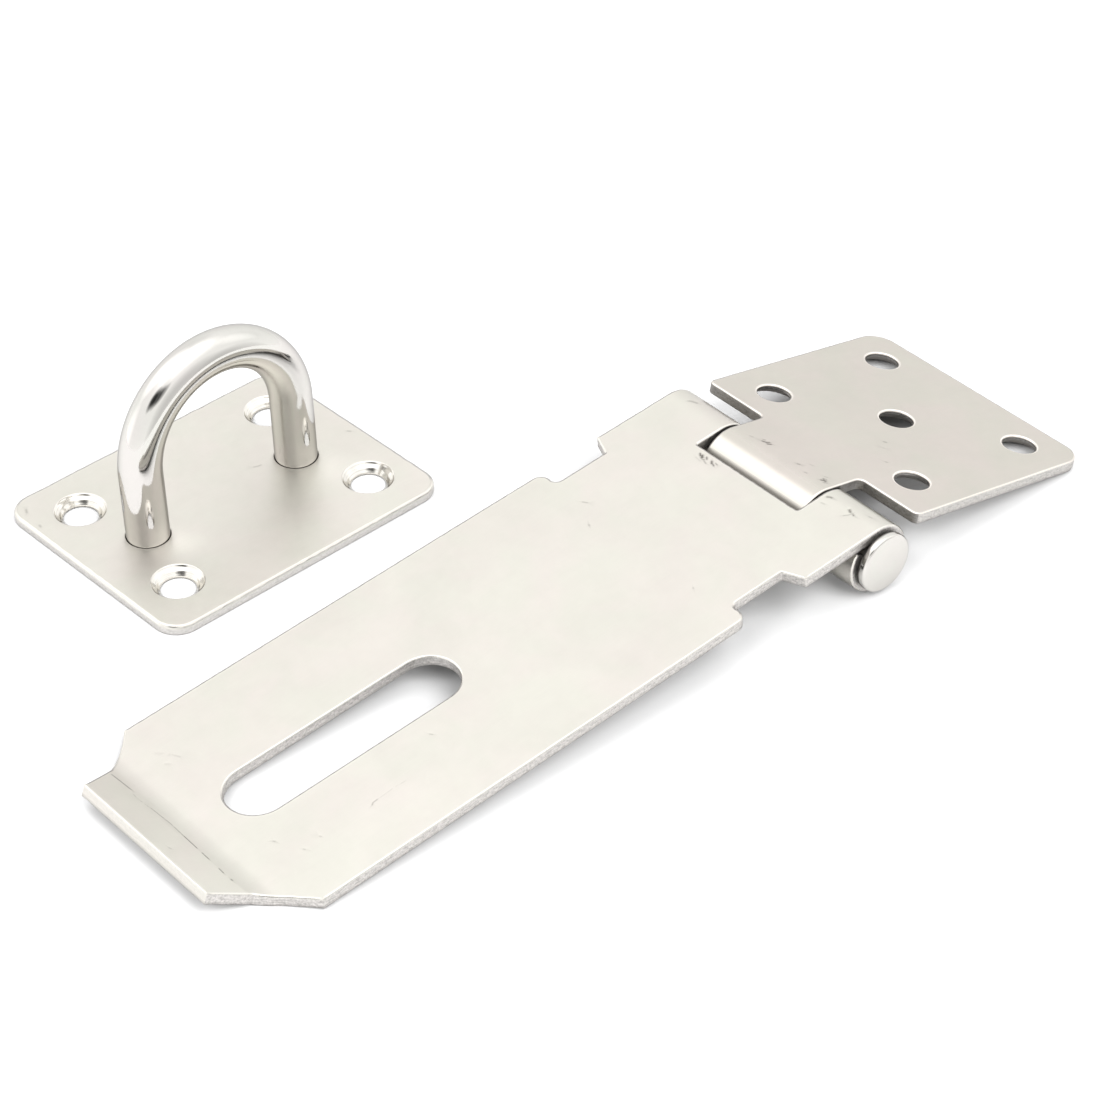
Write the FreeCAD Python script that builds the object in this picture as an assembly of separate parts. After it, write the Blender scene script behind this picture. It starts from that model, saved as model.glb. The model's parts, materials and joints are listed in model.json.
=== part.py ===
import FreeCAD, Part
import math
import os
from FreeCAD import Vector

os.makedirs("parts", exist_ok=True)

# Safety hasp and staple, pressed stainless steel, lying loose on a flat surface.
# Millimetres, +Z up.  The staple is square to the axes with its back on z = 0.
# The hasp lies beside it, turned HASP_YAW about Z, with its hinge barrel, the
# bend of its strap and the free edge of its leaf all touching z = 0.
# The origin is the bottom centre of the box round the whole set.

# ---- sheet and barrel -------------------------------------------------------
SHEET = 1.6            # sheet thickness of strap and leaf
BARREL_R = 5.0         # outside radius of the rolled knuckles
PIN_CLEAR = 0.05       # radial running clearance of the pin
CURL_END_DEG = 141.0   # where a knuckle's curl stops, short of the plate's underside
EDGE_SOFT = 0.18       # radius on the sheared edges

# ---- strap (distances run from the hinge axis along the strap) --------------
STRAP_HALF_W = 20.0
HINGE_HALF_W = 20.2    # the hinge end is a hair wider than the strap
CUT_Y = (-9.80, 9.45)  # cut-out that clears the leaf's knuckle
CUT_U = 4.6            # edge of the cut-out
NOTCH_OUT_U = 13.15    # side notches: outer corner, inner corner, end of the straight
NOTCH_IN_U = 14.5
NOTCH_HALF_W = 17.0
NOTCH_END_U = 22.4
NOTCH_MID = (23.30, 18.25)   # point on the S-curve back out to full width
NOTCH_FULL_U = 24.9
SLOT_U = (55.4, 90.95) # slot that passes over the staple
SLOT_HALF_W = 4.28
# the corners are cut back to the lip by one scallop each side, and the pressing
# sits a little to the +Y side: start, mid and end of each scallop
SCALLOP_POS = [(92.4, 20.0), (95.1, 17.15), (97.8, 15.12)]
SCALLOP_NEG = [(92.2, 20.0), (95.2, 16.55), (97.8, 13.70)]
BEND_U = 95.6          # the lip's bend starts here
BEND_R_IN = 6.0        # radius on the inside (outer face) of the bend
LIP_DEG = 25.6         # lip turned outwards, for the finger
LIP_LEN = 5.0
LIP_END_POS = 13.30    # half widths of the lip's end, +Y and -Y side
LIP_END_NEG = 11.80

# ---- leaf -------------------------------------------------------------------
LEAF_NEAR_U = 6.2
LEAF_FAR_U = 40.75
LEAF_HALF_W = 20.1
NECK_Y = (-9.5, 9.0)   # the leaf's knuckle, with end play in the cut-out
LEAF_FAR_CORNER = 3.4
LEAF_NEAR_CORNER = 1.0
NECK_FILLET = 1.0
LEAF_HOLE_U = 23.5     # middle of the five-hole pattern
LEAF_HOLE_DU = 11.05
LEAF_HOLE_DV = 13.25
SCREW_HOLE_R = 2.4
LEAF_CSK_R = 3.4       # countersink mouth, 90 degree cone, on the barrel side
LEAF_CSK_DEPTH = 1.0
HOLE_SOFT = 0.12       # broken edge of the leaf's holes on the mounting face

# ---- pin --------------------------------------------------------------------
HEAD_R = 4.3
HEAD_GAP = 0.35        # end play under the head
HEAD_OUT = 1.65        # head's face beyond the knuckle
TAIL_R = 3.85          # peened far end
TAIL_GAP = 0.15
TAIL_OUT = 0.65

# ---- staple -----------------------------------------------------------------
PLATE_L = 47.1
PLATE_W = 36.9
PLATE_T = 1.5
PLATE_CORNER = 3.6
PLATE_OFFSET = (-0.26, -0.28)   # plate's middle from the middle of its holes and legs
PLATE_SOFT = 0.45
STAPLE_HOLE_DX = 16.55
STAPLE_HOLE_DY = 10.6
CSK_R = 3.6            # countersink mouth, 90 degree cone
CSK_DEPTH = 1.2
BAR_R = 3.0
LEG_DX = 12.9          # legs at plus and minus this from the loop's middle, along the plate
LOOP_X = -0.3          # the loop's middle, from the middle of the screw holes
LOOP_LEAN = 2.65       # the loop leans this many degrees away from the hasp
LOOP_CENTRE_Z = 11.3   # centre of the half ring
LEG_HOLE_SOFT = 0.30   # broken edge of the holes the legs stand in

# ---- how the set lies -------------------------------------------------------
HASP_YAW = -2.284      # degrees about Z
STAPLE_FROM_HINGE = (-51.45, 53.32)   # middle of the staple's holes from the middle of the hinge axis

PIN_R = BARREL_R - SHEET - PIN_CLEAR
BORE_R = BARREL_R - SHEET

# Strap slope: the underside of the bend (radius BEND_R_IN + SHEET about a centre
# BEND_R_IN above the outer face) and the barrel both rest on z = 0.
_a = BARREL_R + BEND_R_IN
_c = BEND_R_IN + SHEET - BARREL_R
STRAP_SLOPE = math.degrees(math.acos(_c / math.hypot(_a, BEND_U)) - math.atan2(BEND_U, _a))
# Leaf slope: its far lower edge, softened by EDGE_SOFT, and the barrel rest on z = 0.
_ue = LEAF_FAR_U - EDGE_SOFT
_he = BARREL_R - SHEET + EDGE_SOFT
LEAF_SLOPE = math.degrees(math.acos((EDGE_SOFT - BARREL_R) / math.hypot(_he, _ue))
                          - math.atan2(_ue, _he))


# ---- helpers ----------------------------------------------------------------
def line(a, b):
    return Part.LineSegment(a, b).toShape()


def arc3(a, m, b):
    return Part.Arc(a, m, b).toShape()


def polar(r, deg, plane="xz"):
    x, y = r * math.cos(math.radians(deg)), r * math.sin(math.radians(deg))
    return Vector(x, 0, y) if plane == "xz" else Vector(x, y, 0)


def prism(wire, vec):
    return Part.Face(wire).extrude(vec)


def box(x0, x1, y0, y1, z0, z1):
    return Part.makeBox(x1 - x0, y1 - y0, z1 - z0, Vector(x0, y0, z0))


def rounded_outline(points, radii):
    """Closed outline in XY through points, each corner rounded by its radius."""
    n = len(points)
    edges, ends = [], []
    for i in range(n):
        p = Vector(*points[i], 0)
        a = Vector(*points[i - 1], 0)
        b = Vector(*points[(i + 1) % n], 0)
        r = radii[i]
        if r <= 0:
            ends.append((p, None, p))
            continue
        da, db = (a - p).normalize(), (b - p).normalize()
        half = da.getAngle(db) / 2
        cut = r / math.tan(half)
        centre = p + (da + db).normalize() * (r / math.sin(half))
        mid = centre + (p - centre).normalize() * r
        ends.append((p + da * cut, mid, p + db * cut))
    for i in range(n):
        s, m, e = ends[i]
        if m is not None:
            edges.append(arc3(s, m, e))
        nxt = ends[(i + 1) % n][0]
        if e.distanceToPoint(nxt) > 1e-6:
            edges.append(line(e, nxt))
    return Part.Wire(Part.__sortEdges__(edges))


def slot_cutter(x0, x1, hw, z0, z1):
    a, b = x0 + hw, x1 - hw
    w = Part.Wire([line(Vector(a, -hw, z0), Vector(b, -hw, z0)),
                   arc3(Vector(b, -hw, z0), Vector(x1, 0, z0), Vector(b, hw, z0)),
                   line(Vector(b, hw, z0), Vector(a, hw, z0)),
                   arc3(Vector(a, hw, z0), Vector(x0, 0, z0), Vector(a, -hw, z0))])
    return prism(w, Vector(0, 0, z1 - z0))


def soften(shape, radius, pick):
    """Round the edges that pick(edge) chooses."""
    edges = [e for e in shape.Edges if pick(e)]
    return shape.makeFillet(radius, edges)


def flat_at(edge, axis, value, tol=1e-4):
    """True where the whole edge lies in the plane axis = value."""
    pts = [edge.valueAt(edge.FirstParameter + k * (edge.LastParameter - edge.FirstParameter) / 4.0)
           for k in range(5)]
    return all(abs(getattr(p, axis) - value) < tol for p in pts)


def curl(side):
    """Side section of a rolled knuckle with a short run of plate.

    side = -1: the plate comes in from -X; side = +1: from +X.  The plate's outer
    face is tangent to the top of the barrel and the roll closes underneath."""
    R, r = BARREL_R, BORE_R
    run = 5.6
    e = CURL_END_DEG
    def P(x, z):
        return Vector(-side * x, 0, z)
    def Q(rad, deg):
        return P(rad * math.cos(math.radians(deg)), rad * math.sin(math.radians(deg)))
    # drawn for a plate on the -X side, then mirrored by P for side = +1
    pts = [
        line(P(-run, R), P(0, R)),
        arc3(Q(R, 90), Q(R, 0), Q(R, -90)),
        arc3(Q(R, -90), Q(R, -155), Q(R, e - 360)),
        line(Q(R, e - 360), Q(r, e - 360)),
        arc3(Q(r, e - 360), Q(r, -155), Q(r, -90)),
        arc3(Q(r, -90), Q(r, 0), Q(r, 90)),
        line(P(0, r), P(-run, r)),
        line(P(-run, r), P(-run, R)),
    ]
    return Part.Wire(pts)


def knuckle(side, y0, y1):
    w = curl(side)
    w.translate(Vector(0, y0, 0))
    return prism(w, Vector(0, y1 - y0, 0))


# ---- strap, in its own frame: hinge axis = Y, plate towards -X, outer face z = BARREL_R
def make_strap():
    R, T = BARREL_R, SHEET
    g = math.radians(LIP_DEG)
    ri, ro = BEND_R_IN, BEND_R_IN + SHEET
    def bend(rad, deg):
        a = math.radians(deg)
        return Vector(-BEND_U - rad * math.sin(a), 0, R + ri - rad * math.cos(a))
    d = Vector(-math.cos(g), 0, math.sin(g))
    top_end, low_end = bend(ri, LIP_DEG) + d * LIP_LEN, bend(ro, LIP_DEG) + d * LIP_LEN
    x0 = -CUT_U
    side = Part.Wire([
        line(Vector(x0, 0, R), Vector(-BEND_U, 0, R)),
        arc3(bend(ri, 0), bend(ri, LIP_DEG / 2), bend(ri, LIP_DEG)),
        line(bend(ri, LIP_DEG), top_end),
        line(top_end, low_end),
        line(low_end, bend(ro, LIP_DEG)),
        arc3(bend(ro, LIP_DEG), bend(ro, LIP_DEG / 2), bend(ro, 0)),
        line(Vector(-BEND_U, 0, R - T), Vector(x0, 0, R - T)),
        line(Vector(x0, 0, R - T), Vector(x0, 0, R)),
    ])
    side.translate(Vector(0, -30, 0))
    sheet = prism(side, Vector(0, 60, 0))

    # plan outline: +Y side points, from the hinge out to the lip
    def up(u, v, s):
        return Vector(-u, s * v, -20)
    lip_x = -top_end.x + 3.0
    lip_end = {}
    for k, scallop, end in ((1, SCALLOP_POS, LIP_END_POS), (-1, SCALLOP_NEG, LIP_END_NEG)):
        slope = (scallop[2][1] - end) / (-top_end.x - scallop[2][0])
        lip_end[k] = scallop[2][1] - slope * (lip_x - scallop[2][0])
    edges = []
    for s in (1, -1):
        pts_out = up(CUT_U - 1.0, HINGE_HALF_W, s)
        edges.append(line(pts_out, up(NOTCH_OUT_U, HINGE_HALF_W, s)))
        edges.append(line(up(NOTCH_OUT_U, HINGE_HALF_W, s), up(NOTCH_IN_U, NOTCH_HALF_W, s)))
        edges.append(line(up(NOTCH_IN_U, NOTCH_HALF_W, s), up(NOTCH_END_U, NOTCH_HALF_W, s)))
        # S-curve: a concave arc that leaves the notch flat, then a small convex round
        m = NOTCH_MID
        c_r = ((m[0] - NOTCH_END_U) ** 2 + (m[1] - NOTCH_HALF_W) ** 2) / (2 * (m[1] - NOTCH_HALF_W))
        th = math.asin(min(1.0, (m[0] - NOTCH_END_U) / c_r)) if m[1] - NOTCH_HALF_W <= c_r else math.pi / 2
        q = up(NOTCH_END_U + c_r * math.sin(th / 2), NOTCH_HALF_W + c_r * (1 - math.cos(th / 2)), s)
        edges.append(arc3(up(NOTCH_END_U, NOTCH_HALF_W, s), q, up(m[0], m[1], s)))
        e_r = ((NOTCH_FULL_U - m[0]) ** 2 + (STRAP_HALF_W - m[1]) ** 2) / (2 * (STRAP_HALF_W - m[1]))
        ph = math.asin(min(1.0, (NOTCH_FULL_U - m[0]) / e_r))
        q2 = up(NOTCH_FULL_U - e_r * math.sin(ph / 2), STRAP_HALF_W - e_r * (1 - math.cos(ph / 2)), s)
        edges.append(arc3(up(m[0], m[1], s), q2, up(NOTCH_FULL_U, STRAP_HALF_W, s)))
        sc = SCALLOP_POS if s > 0 else SCALLOP_NEG
        edges.append(line(up(NOTCH_FULL_U, STRAP_HALF_W, s), up(*sc[0], s)))
        edges.append(arc3(up(*sc[0], s), up(*sc[1], s), up(*sc[2], s)))
        edges.append(line(up(*sc[2], s), up(lip_x, lip_end[s], s)))
    edges.append(line(up(CUT_U - 1.0, HINGE_HALF_W, 1), up(CUT_U - 1.0, HINGE_HALF_W, -1)))
    edges.append(line(up(lip_x, lip_end[1], 1), up(lip_x, lip_end[-1], -1)))
    plan = prism(Part.Wire(Part.__sortEdges__(edges)), Vector(0, 0, 60))
    body = sheet.common(plan)
    for y0, y1 in ((-HINGE_HALF_W, CUT_Y[0]), (CUT_Y[1], HINGE_HALF_W)):
        body = body.fuse(knuckle(-1, y0, y1))
    body = body.cut(slot_cutter(-SLOT_U[1], -SLOT_U[0], SLOT_HALF_W, 0, 20))
    return body.removeSplitter()


# ---- leaf, in its own frame: hinge axis = Y, plate towards +X, mounting face z = BARREL_R
def leaf_holes():
    c, a, b = LEAF_HOLE_U, LEAF_HOLE_DU, LEAF_HOLE_DV
    return [(c, 0), (c - a, b), (c - a, -b), (c + a, b), (c + a, -b)]


def make_leaf():
    R, T = BARREL_R, SHEET
    n, f, w, (k0, k1) = LEAF_NEAR_U, LEAF_FAR_U, LEAF_HALF_W, NECK_Y
    pts = [(2.0, k0), (n, k0), (n, -w), (f, -w), (f, w), (n, w), (n, k1), (2.0, k1)]
    rad = [0, NECK_FILLET, LEAF_NEAR_CORNER, LEAF_FAR_CORNER, LEAF_FAR_CORNER,
           LEAF_NEAR_CORNER, NECK_FILLET, 0]
    w2 = rounded_outline(pts, rad)
    w2.translate(Vector(0, 0, R - T))
    body = prism(w2, Vector(0, 0, T)).fuse(knuckle(1, k0, k1)).removeSplitter()
    return body


def drill_leaf(body):
    R, T = BARREL_R, SHEET
    for u, v in leaf_holes():
        body = body.cut(Part.makeCylinder(SCREW_HOLE_R, 10, Vector(u, v, 0)))
        # countersink on the barrel side, where the screw heads sit
        body = body.cut(Part.makeCone(LEAF_CSK_R + 1.0, LEAF_CSK_R - LEAF_CSK_DEPTH,
                                      1.0 + LEAF_CSK_DEPTH, Vector(u, v, R - T - 1.0)))
        body = body.cut(Part.makeCone(SCREW_HOLE_R, SCREW_HOLE_R + HOLE_SOFT + 1.0,
                                      HOLE_SOFT + 1.0, Vector(u, v, R - HOLE_SOFT)))
    return body


# ---- pin: turned about the hinge axis, head at -Y ---------------------------
def make_pin():
    y_head_in = -(HINGE_HALF_W + HEAD_GAP)
    y_face = -(HINGE_HALF_W + HEAD_OUT)
    y_tail_in = HINGE_HALF_W + TAIL_GAP
    y_tail = HINGE_HALF_W + TAIL_OUT
    rim, dome = 0.38, 0.12
    def P(r, y):
        return Vector(r, y, 0)
    s = rim * math.sin(math.radians(45))
    edges = [
        line(P(0, y_tail), P(0, y_face)),
        line(P(0, y_face), P(1.5, y_face)),
        arc3(P(1.5, y_face), P(2.8, y_face + dome * 0.30), P(HEAD_R - rim, y_face + dome)),
        arc3(P(HEAD_R - rim, y_face + dome), P(HEAD_R - rim + s, y_face + dome + rim - s),
             P(HEAD_R, y_face + dome + rim)),
        line(P(HEAD_R, y_face + dome + rim), P(HEAD_R, y_head_in - 0.10)),
        line(P(HEAD_R, y_head_in - 0.10), P(HEAD_R - 0.10, y_head_in)),
        line(P(HEAD_R - 0.10, y_head_in), P(PIN_R, y_head_in)),
        line(P(PIN_R, y_head_in), P(PIN_R, y_tail_in)),
        line(P(PIN_R, y_tail_in), P(TAIL_R - 0.15, y_tail_in)),
        arc3(P(TAIL_R - 0.15, y_tail_in), P(TAIL_R, y_tail_in + 0.12), P(TAIL_R - 0.2, y_tail_in + 0.25)),
        arc3(P(TAIL_R - 0.2, y_tail_in + 0.25), P(2.6, y_tail - 0.06), P(1.4, y_tail)),
        line(P(1.4, y_tail), P(0, y_tail)),
    ]
    face = Part.Face(Part.Wire(edges))
    return face.revolve(Vector(0, 0, 0), Vector(0, 1, 0), 360)


# ---- staple -----------------------------------------------------------------
def make_plate():
    hx, hy, c = PLATE_L / 2, PLATE_W / 2, PLATE_CORNER
    w = rounded_outline([(-hx, -hy), (hx, -hy), (hx, hy), (-hx, hy)], [c] * 4)
    w.translate(Vector(PLATE_OFFSET[0], PLATE_OFFSET[1], 0))
    body = prism(w, Vector(0, 0, PLATE_T))
    body = soften(body, PLATE_SOFT, lambda e: flat_at(e, "z", PLATE_T))
    body = soften(body, 0.15, lambda e: flat_at(e, "z", 0.0))
    for sx in (-1, 1):
        for sy in (-1, 1):
            x, y = sx * STAPLE_HOLE_DX, sy * STAPLE_HOLE_DY
            body = body.cut(Part.makeCylinder(SCREW_HOLE_R, 10, Vector(x, y, -5)))
            body = body.cut(Part.makeCone(CSK_R - CSK_DEPTH, CSK_R + 1.0, CSK_DEPTH + 1.0,
                                          Vector(x, y, PLATE_T - CSK_DEPTH)))
        x = LOOP_X + sx * LEG_DX
        k = LEG_HOLE_SOFT
        hole = Part.makeCylinder(BAR_R, 10, Vector(x, 0, -5))
        mouth = Part.makeCone(BAR_R, BAR_R + k + 1.0, k + 1.0, Vector(x, 0, PLATE_T - k))
        for tool in (hole, mouth):
            tool.rotate(Vector(0, 0, PLATE_T), Vector(1, 0, 0), -LOOP_LEAN)
            body = body.cut(tool)
    return body


def make_loop():
    disc = Part.Face(Part.Wire(Part.makeCircle(BAR_R, Vector(LOOP_X + LEG_DX, 0, LOOP_CENTRE_Z))))
    ring = disc.revolve(Vector(LOOP_X, 0, LOOP_CENTRE_Z), Vector(0, -1, 0), 180)
    legs = [Part.makeCylinder(BAR_R, LOOP_CENTRE_Z + 1.0, Vector(LOOP_X + s * LEG_DX, 0, -1.0)) for s in (-1, 1)]
    body = ring.fuse(legs)
    body.rotate(Vector(0, 0, PLATE_T), Vector(1, 0, 0), -LOOP_LEAN)
    # the legs end flush with the plate's back
    return body.cut(Part.makeBox(80, 80, 10, Vector(-40, -40, -10)))


def soft_sheet(body, radius):
    """Round the sheared outlines of a strap or leaf: every convex square edge that
    runs round the plate or round a knuckle's ends."""
    picked = []
    for e in body.Edges:
        faces = body.ancestorsOfType(e, Part.Face)
        if len(faces) != 2:
            continue
        p = e.valueAt((e.FirstParameter + e.LastParameter) / 2)
        normals = []
        for f in faces:
            u, v = f.Surface.parameter(p)
            normals.append(f.normalAt(u, v))
        if abs(normals[0].dot(normals[1])) > 0.35:
            continue                      # tangent or shallow: not a sheared edge
        along = e.tangentAt((e.FirstParameter + e.LastParameter) / 2)
        if abs(along.z) > 0.9 and abs(abs(normals[0].z)) < 0.1 and abs(normals[1].z) < 0.1:
            continue                      # corner edges through the thickness stay crisp
        inward = (normals[0] + normals[1]).normalize() * -0.05
        if not body.isInside(p + inward, 1e-4, False):
            continue                      # concave
        picked.append(e)
    return body.makeFillet(radius, picked)


def place_hasp_part(shape, slope_deg):
    s = shape.copy()
    s.rotate(Vector(0, 0, 0), Vector(0, 1, 0), slope_deg)
    s.translate(Vector(0, 0, BARREL_R))
    s.rotate(Vector(0, 0, 0), Vector(0, 0, 1), HASP_YAW)
    return s


strap = make_strap()
leaf = make_leaf()
for name, radius in (("strap", EDGE_SOFT), ("leaf", EDGE_SOFT)):
    src = strap if name == "strap" else leaf
    try:
        out = soft_sheet(src, radius)
        ok = out.isValid() and out.Volume > 0.9 * src.Volume
    except Exception as err:
        ok, out = False, src
        print(name, "edge rounding failed:", err)
    if not ok:
        print(name, "keeps square edges")
        out = src
    if name == "strap":
        strap = out
    else:
        leaf = out
leaf = drill_leaf(leaf)

shapes = {
    "hasp_strap": place_hasp_part(strap, -STRAP_SLOPE),
    "fixed_leaf": place_hasp_part(leaf, LEAF_SLOPE),
    "hinge_pin": place_hasp_part(make_pin(), 0.0),
    "staple_plate": make_plate(),
    "staple_loop": make_loop(),
}
for name in ("staple_plate", "staple_loop"):
    shapes[name].translate(Vector(STAPLE_FROM_HINGE[0], STAPLE_FROM_HINGE[1], 0))

box_all = None
for s in shapes.values():
    b = s.optimalBoundingBox(False, False)
    if box_all is None:
        box_all = b
    else:
        box_all.add(b)
shift = Vector(-(box_all.XMin + box_all.XMax) / 2, -(box_all.YMin + box_all.YMax) / 2, 0)

for name, s in shapes.items():
    s.translate(shift)
    solids = s.Solids
    assert len(solids) == 1, (name, len(solids))
    out = solids[0]
    assert out.isValid(), name
    out.exportStep("parts/%s.step" % name)
    b = out.optimalBoundingBox(False, False)
    print("%-13s volume %9.2f  x %.3f..%.3f  y %.3f..%.3f  z %.3f..%.3f" % (
        name, out.Volume, b.XMin, b.XMax, b.YMin, b.YMax, b.ZMin, b.ZMax))


def hasp_point(slope_deg, x, y, z):
    """A point given in the strap's or leaf's own frame, in the set's frame."""
    p = FreeCAD.Rotation(Vector(0, 1, 0), slope_deg).multVec(Vector(x, y, z))
    p = p + Vector(0, 0, BARREL_R)
    return FreeCAD.Rotation(Vector(0, 0, 1), HASP_YAW).multVec(p) + shift


def hasp_dir(slope_deg, x, y, z):
    p = FreeCAD.Rotation(Vector(0, 1, 0), slope_deg).multVec(Vector(x, y, z))
    return FreeCAD.Rotation(Vector(0, 0, 1), HASP_YAW).multVec(p)


def show(label, v):
    print("%-22s %.5f %.5f %.5f" % (label, v.x, v.y, v.z))


print("strap slope %.4f  leaf slope %.4f" % (STRAP_SLOPE, LEAF_SLOPE))
show("hinge centre", hasp_point(0, 0, 0, 0))
show("hinge axis", hasp_dir(0, 0, 1, 0))
show("leaf pattern centre", hasp_point(LEAF_SLOPE, LEAF_HOLE_U, 0, BARREL_R))
show("leaf outward normal", hasp_dir(LEAF_SLOPE, 0, 0, 1))
show("leaf face point", hasp_point(LEAF_SLOPE, LEAF_HOLE_U, 7.0, BARREL_R))
show("strap slot centre", hasp_point(-STRAP_SLOPE, -sum(SLOT_U) / 2, 0, BARREL_R - SHEET / 2))
show("staple centre", Vector(STAPLE_FROM_HINGE[0], STAPLE_FROM_HINGE[1], 0) + shift)
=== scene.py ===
import json
import math
import bpy
import numpy as np
from mathutils import Matrix, Vector, noise
from mathutils.geometry import delaunay_2d_cdt


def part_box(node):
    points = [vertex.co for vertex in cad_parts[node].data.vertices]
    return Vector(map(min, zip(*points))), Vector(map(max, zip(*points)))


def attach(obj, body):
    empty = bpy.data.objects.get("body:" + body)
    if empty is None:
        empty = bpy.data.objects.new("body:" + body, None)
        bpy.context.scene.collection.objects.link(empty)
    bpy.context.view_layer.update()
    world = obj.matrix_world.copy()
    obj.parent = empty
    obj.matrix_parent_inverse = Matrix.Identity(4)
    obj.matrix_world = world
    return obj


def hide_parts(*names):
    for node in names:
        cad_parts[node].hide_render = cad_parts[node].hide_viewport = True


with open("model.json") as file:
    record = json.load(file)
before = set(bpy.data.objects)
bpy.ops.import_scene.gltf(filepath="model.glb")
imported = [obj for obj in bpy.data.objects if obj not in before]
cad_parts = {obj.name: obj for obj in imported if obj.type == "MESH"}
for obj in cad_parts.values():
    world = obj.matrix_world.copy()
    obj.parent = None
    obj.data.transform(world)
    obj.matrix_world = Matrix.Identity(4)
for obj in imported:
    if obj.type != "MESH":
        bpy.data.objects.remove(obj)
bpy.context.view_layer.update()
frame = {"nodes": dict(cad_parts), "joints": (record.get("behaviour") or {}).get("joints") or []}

# Everything below is in millimetres until a mesh is written, then in metres.

# ------------------------------------------------------------------ dimensions
SHEET = 1.6
BARREL_R = 5.0
CURL = math.radians(309.0)          # how far the sheet is rolled round the pin
CURL_LEN = BARREL_R * CURL

STRAP_HALF_W = 20.0
HINGE_HALF_W = 20.2
CUT_Y = (-9.80, 9.45)
CUT_U = 4.6
NOTCH_OUT_U, NOTCH_IN_U, NOTCH_HALF_W, NOTCH_END_U = 13.15, 14.5, 17.0, 22.4
NOTCH_MID = (23.30, 18.25)
NOTCH_FULL_U = 24.9
SLOT_U = (55.4, 90.95)
SLOT_HALF_W = 4.28
SCALLOP_POS = [(92.4, 20.0), (95.1, 17.15), (97.8, 15.12)]
SCALLOP_NEG = [(92.2, 20.0), (95.2, 16.55), (97.8, 13.70)]
BEND_U, BEND_R_IN, LIP_DEG, LIP_LEN = 95.6, 6.0, 25.6, 5.0
LIP_END_POS, LIP_END_NEG = 13.30, 11.80

LEAF_NEAR_U, LEAF_FAR_U, LEAF_HALF_W = 6.2, 40.75, 20.1
NECK_Y = (-9.5, 9.0)
LEAF_FAR_CORNER, LEAF_NEAR_CORNER, NECK_FILLET = 3.4, 1.0, 1.0
LEAF_HOLE_U, LEAF_HOLE_DU, LEAF_HOLE_DV = 23.5, 11.05, 13.25
SCREW_HOLE_R, CSK_R, CSK_DEPTH = 2.4, 3.6, 1.2
LEAF_CSK_DEPTH = 1.0

HEAD_R, HEAD_GAP, HEAD_OUT = 4.3, 0.35, 1.65
TAIL_R, TAIL_GAP, TAIL_OUT = 3.85, 0.15, 0.65
PIN_R = 3.35

PLATE_L, PLATE_W, PLATE_T, PLATE_CORNER = 47.1, 36.9, 1.5, 3.6
PLATE_OFFSET = (-0.26, -0.28)
STAPLE_HOLE_DX, STAPLE_HOLE_DY = 16.55, 10.6
BAR_R, LEG_DX, LOOP_CENTRE_Z = 3.0, 12.9, 11.3
LOOP_X, LOOP_LEAN = -0.3, math.radians(2.65)

_a, _c = BARREL_R + BEND_R_IN, BEND_R_IN + SHEET - BARREL_R
STRAP_SLOPE = math.acos(_c / math.hypot(_a, BEND_U)) - math.atan2(BEND_U, _a)
_ue, _he = LEAF_FAR_U - 0.18, BARREL_R - SHEET + 0.18
LEAF_SLOPE = math.acos((0.18 - BARREL_R) / math.hypot(_he, _ue)) - math.atan2(_ue, _he)
LIP_A = math.radians(LIP_DEG)

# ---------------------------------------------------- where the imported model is
joints = {j["name"]: j for j in frame["joints"]}
HINGE = Vector(joints["hasp_hinge"]["pos_m"]) * 1000.0
_ax = Vector(joints["hasp_hinge"]["axis"])
YAW = math.atan2(-_ax.x, _ax.y)
_l0, _l1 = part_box("staple_plate")
STAPLE = (_l0 + _l1) * 500.0 - Vector((PLATE_OFFSET[0], PLATE_OFFSET[1], 0.0))
STAPLE.z = 0.0

BASE = Matrix.Translation(HINGE) @ Matrix.Rotation(YAW, 4, "Z")
STRAP_M = BASE @ Matrix.Rotation(-STRAP_SLOPE, 4, "Y")
LEAF_M = BASE @ Matrix.Rotation(LEAF_SLOPE, 4, "Y")
PIN_M = BASE
STAPLE_M = Matrix.Translation(STAPLE)


# ------------------------------------------------------- from sheet to rolled part
def strap_place(x, v, t):
    """A point of the developed strap (x along it, v across, t below the outer face)
    in the strap's own frame.  Arrays in, N by 3 array out."""
    x, v, t = (np.asarray(a, float) for a in (x, v, t))
    X, Z = x.copy(), BARREL_R - t
    s = -x
    a = np.clip((s - BEND_U) / BEND_R_IN, 0.0, LIP_A)
    past = np.maximum(s - BEND_U - BEND_R_IN * LIP_A, 0.0)
    m = s > BEND_U
    X = np.where(m, -BEND_U - (BEND_R_IN + t) * np.sin(a) - past * math.cos(LIP_A), X)
    Z = np.where(m, BARREL_R + BEND_R_IN - (BEND_R_IN + t) * np.cos(a) + past * math.sin(LIP_A), Z)
    m = x > 0
    p = math.pi / 2 - x / BARREL_R
    X = np.where(m, (BARREL_R - t) * np.cos(p), X)
    Z = np.where(m, (BARREL_R - t) * np.sin(p), Z)
    return np.stack([X, v, Z], 1)


def leaf_place(x, v, t):
    x, v, t = (np.asarray(a, float) for a in (x, v, t))
    X, Z = x.copy(), BARREL_R - t
    m = x < 0
    p = math.pi / 2 + x / BARREL_R
    X = np.where(m, -(BARREL_R - t) * np.cos(p), X)
    Z = np.where(m, (BARREL_R - t) * np.sin(p), Z)
    return np.stack([X, v, Z], 1)


def plate_place(x, v, t):
    x, v, t = (np.asarray(a, float) for a in (x, v, t))
    return np.stack([x, v, PLATE_T - t], 1)


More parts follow.
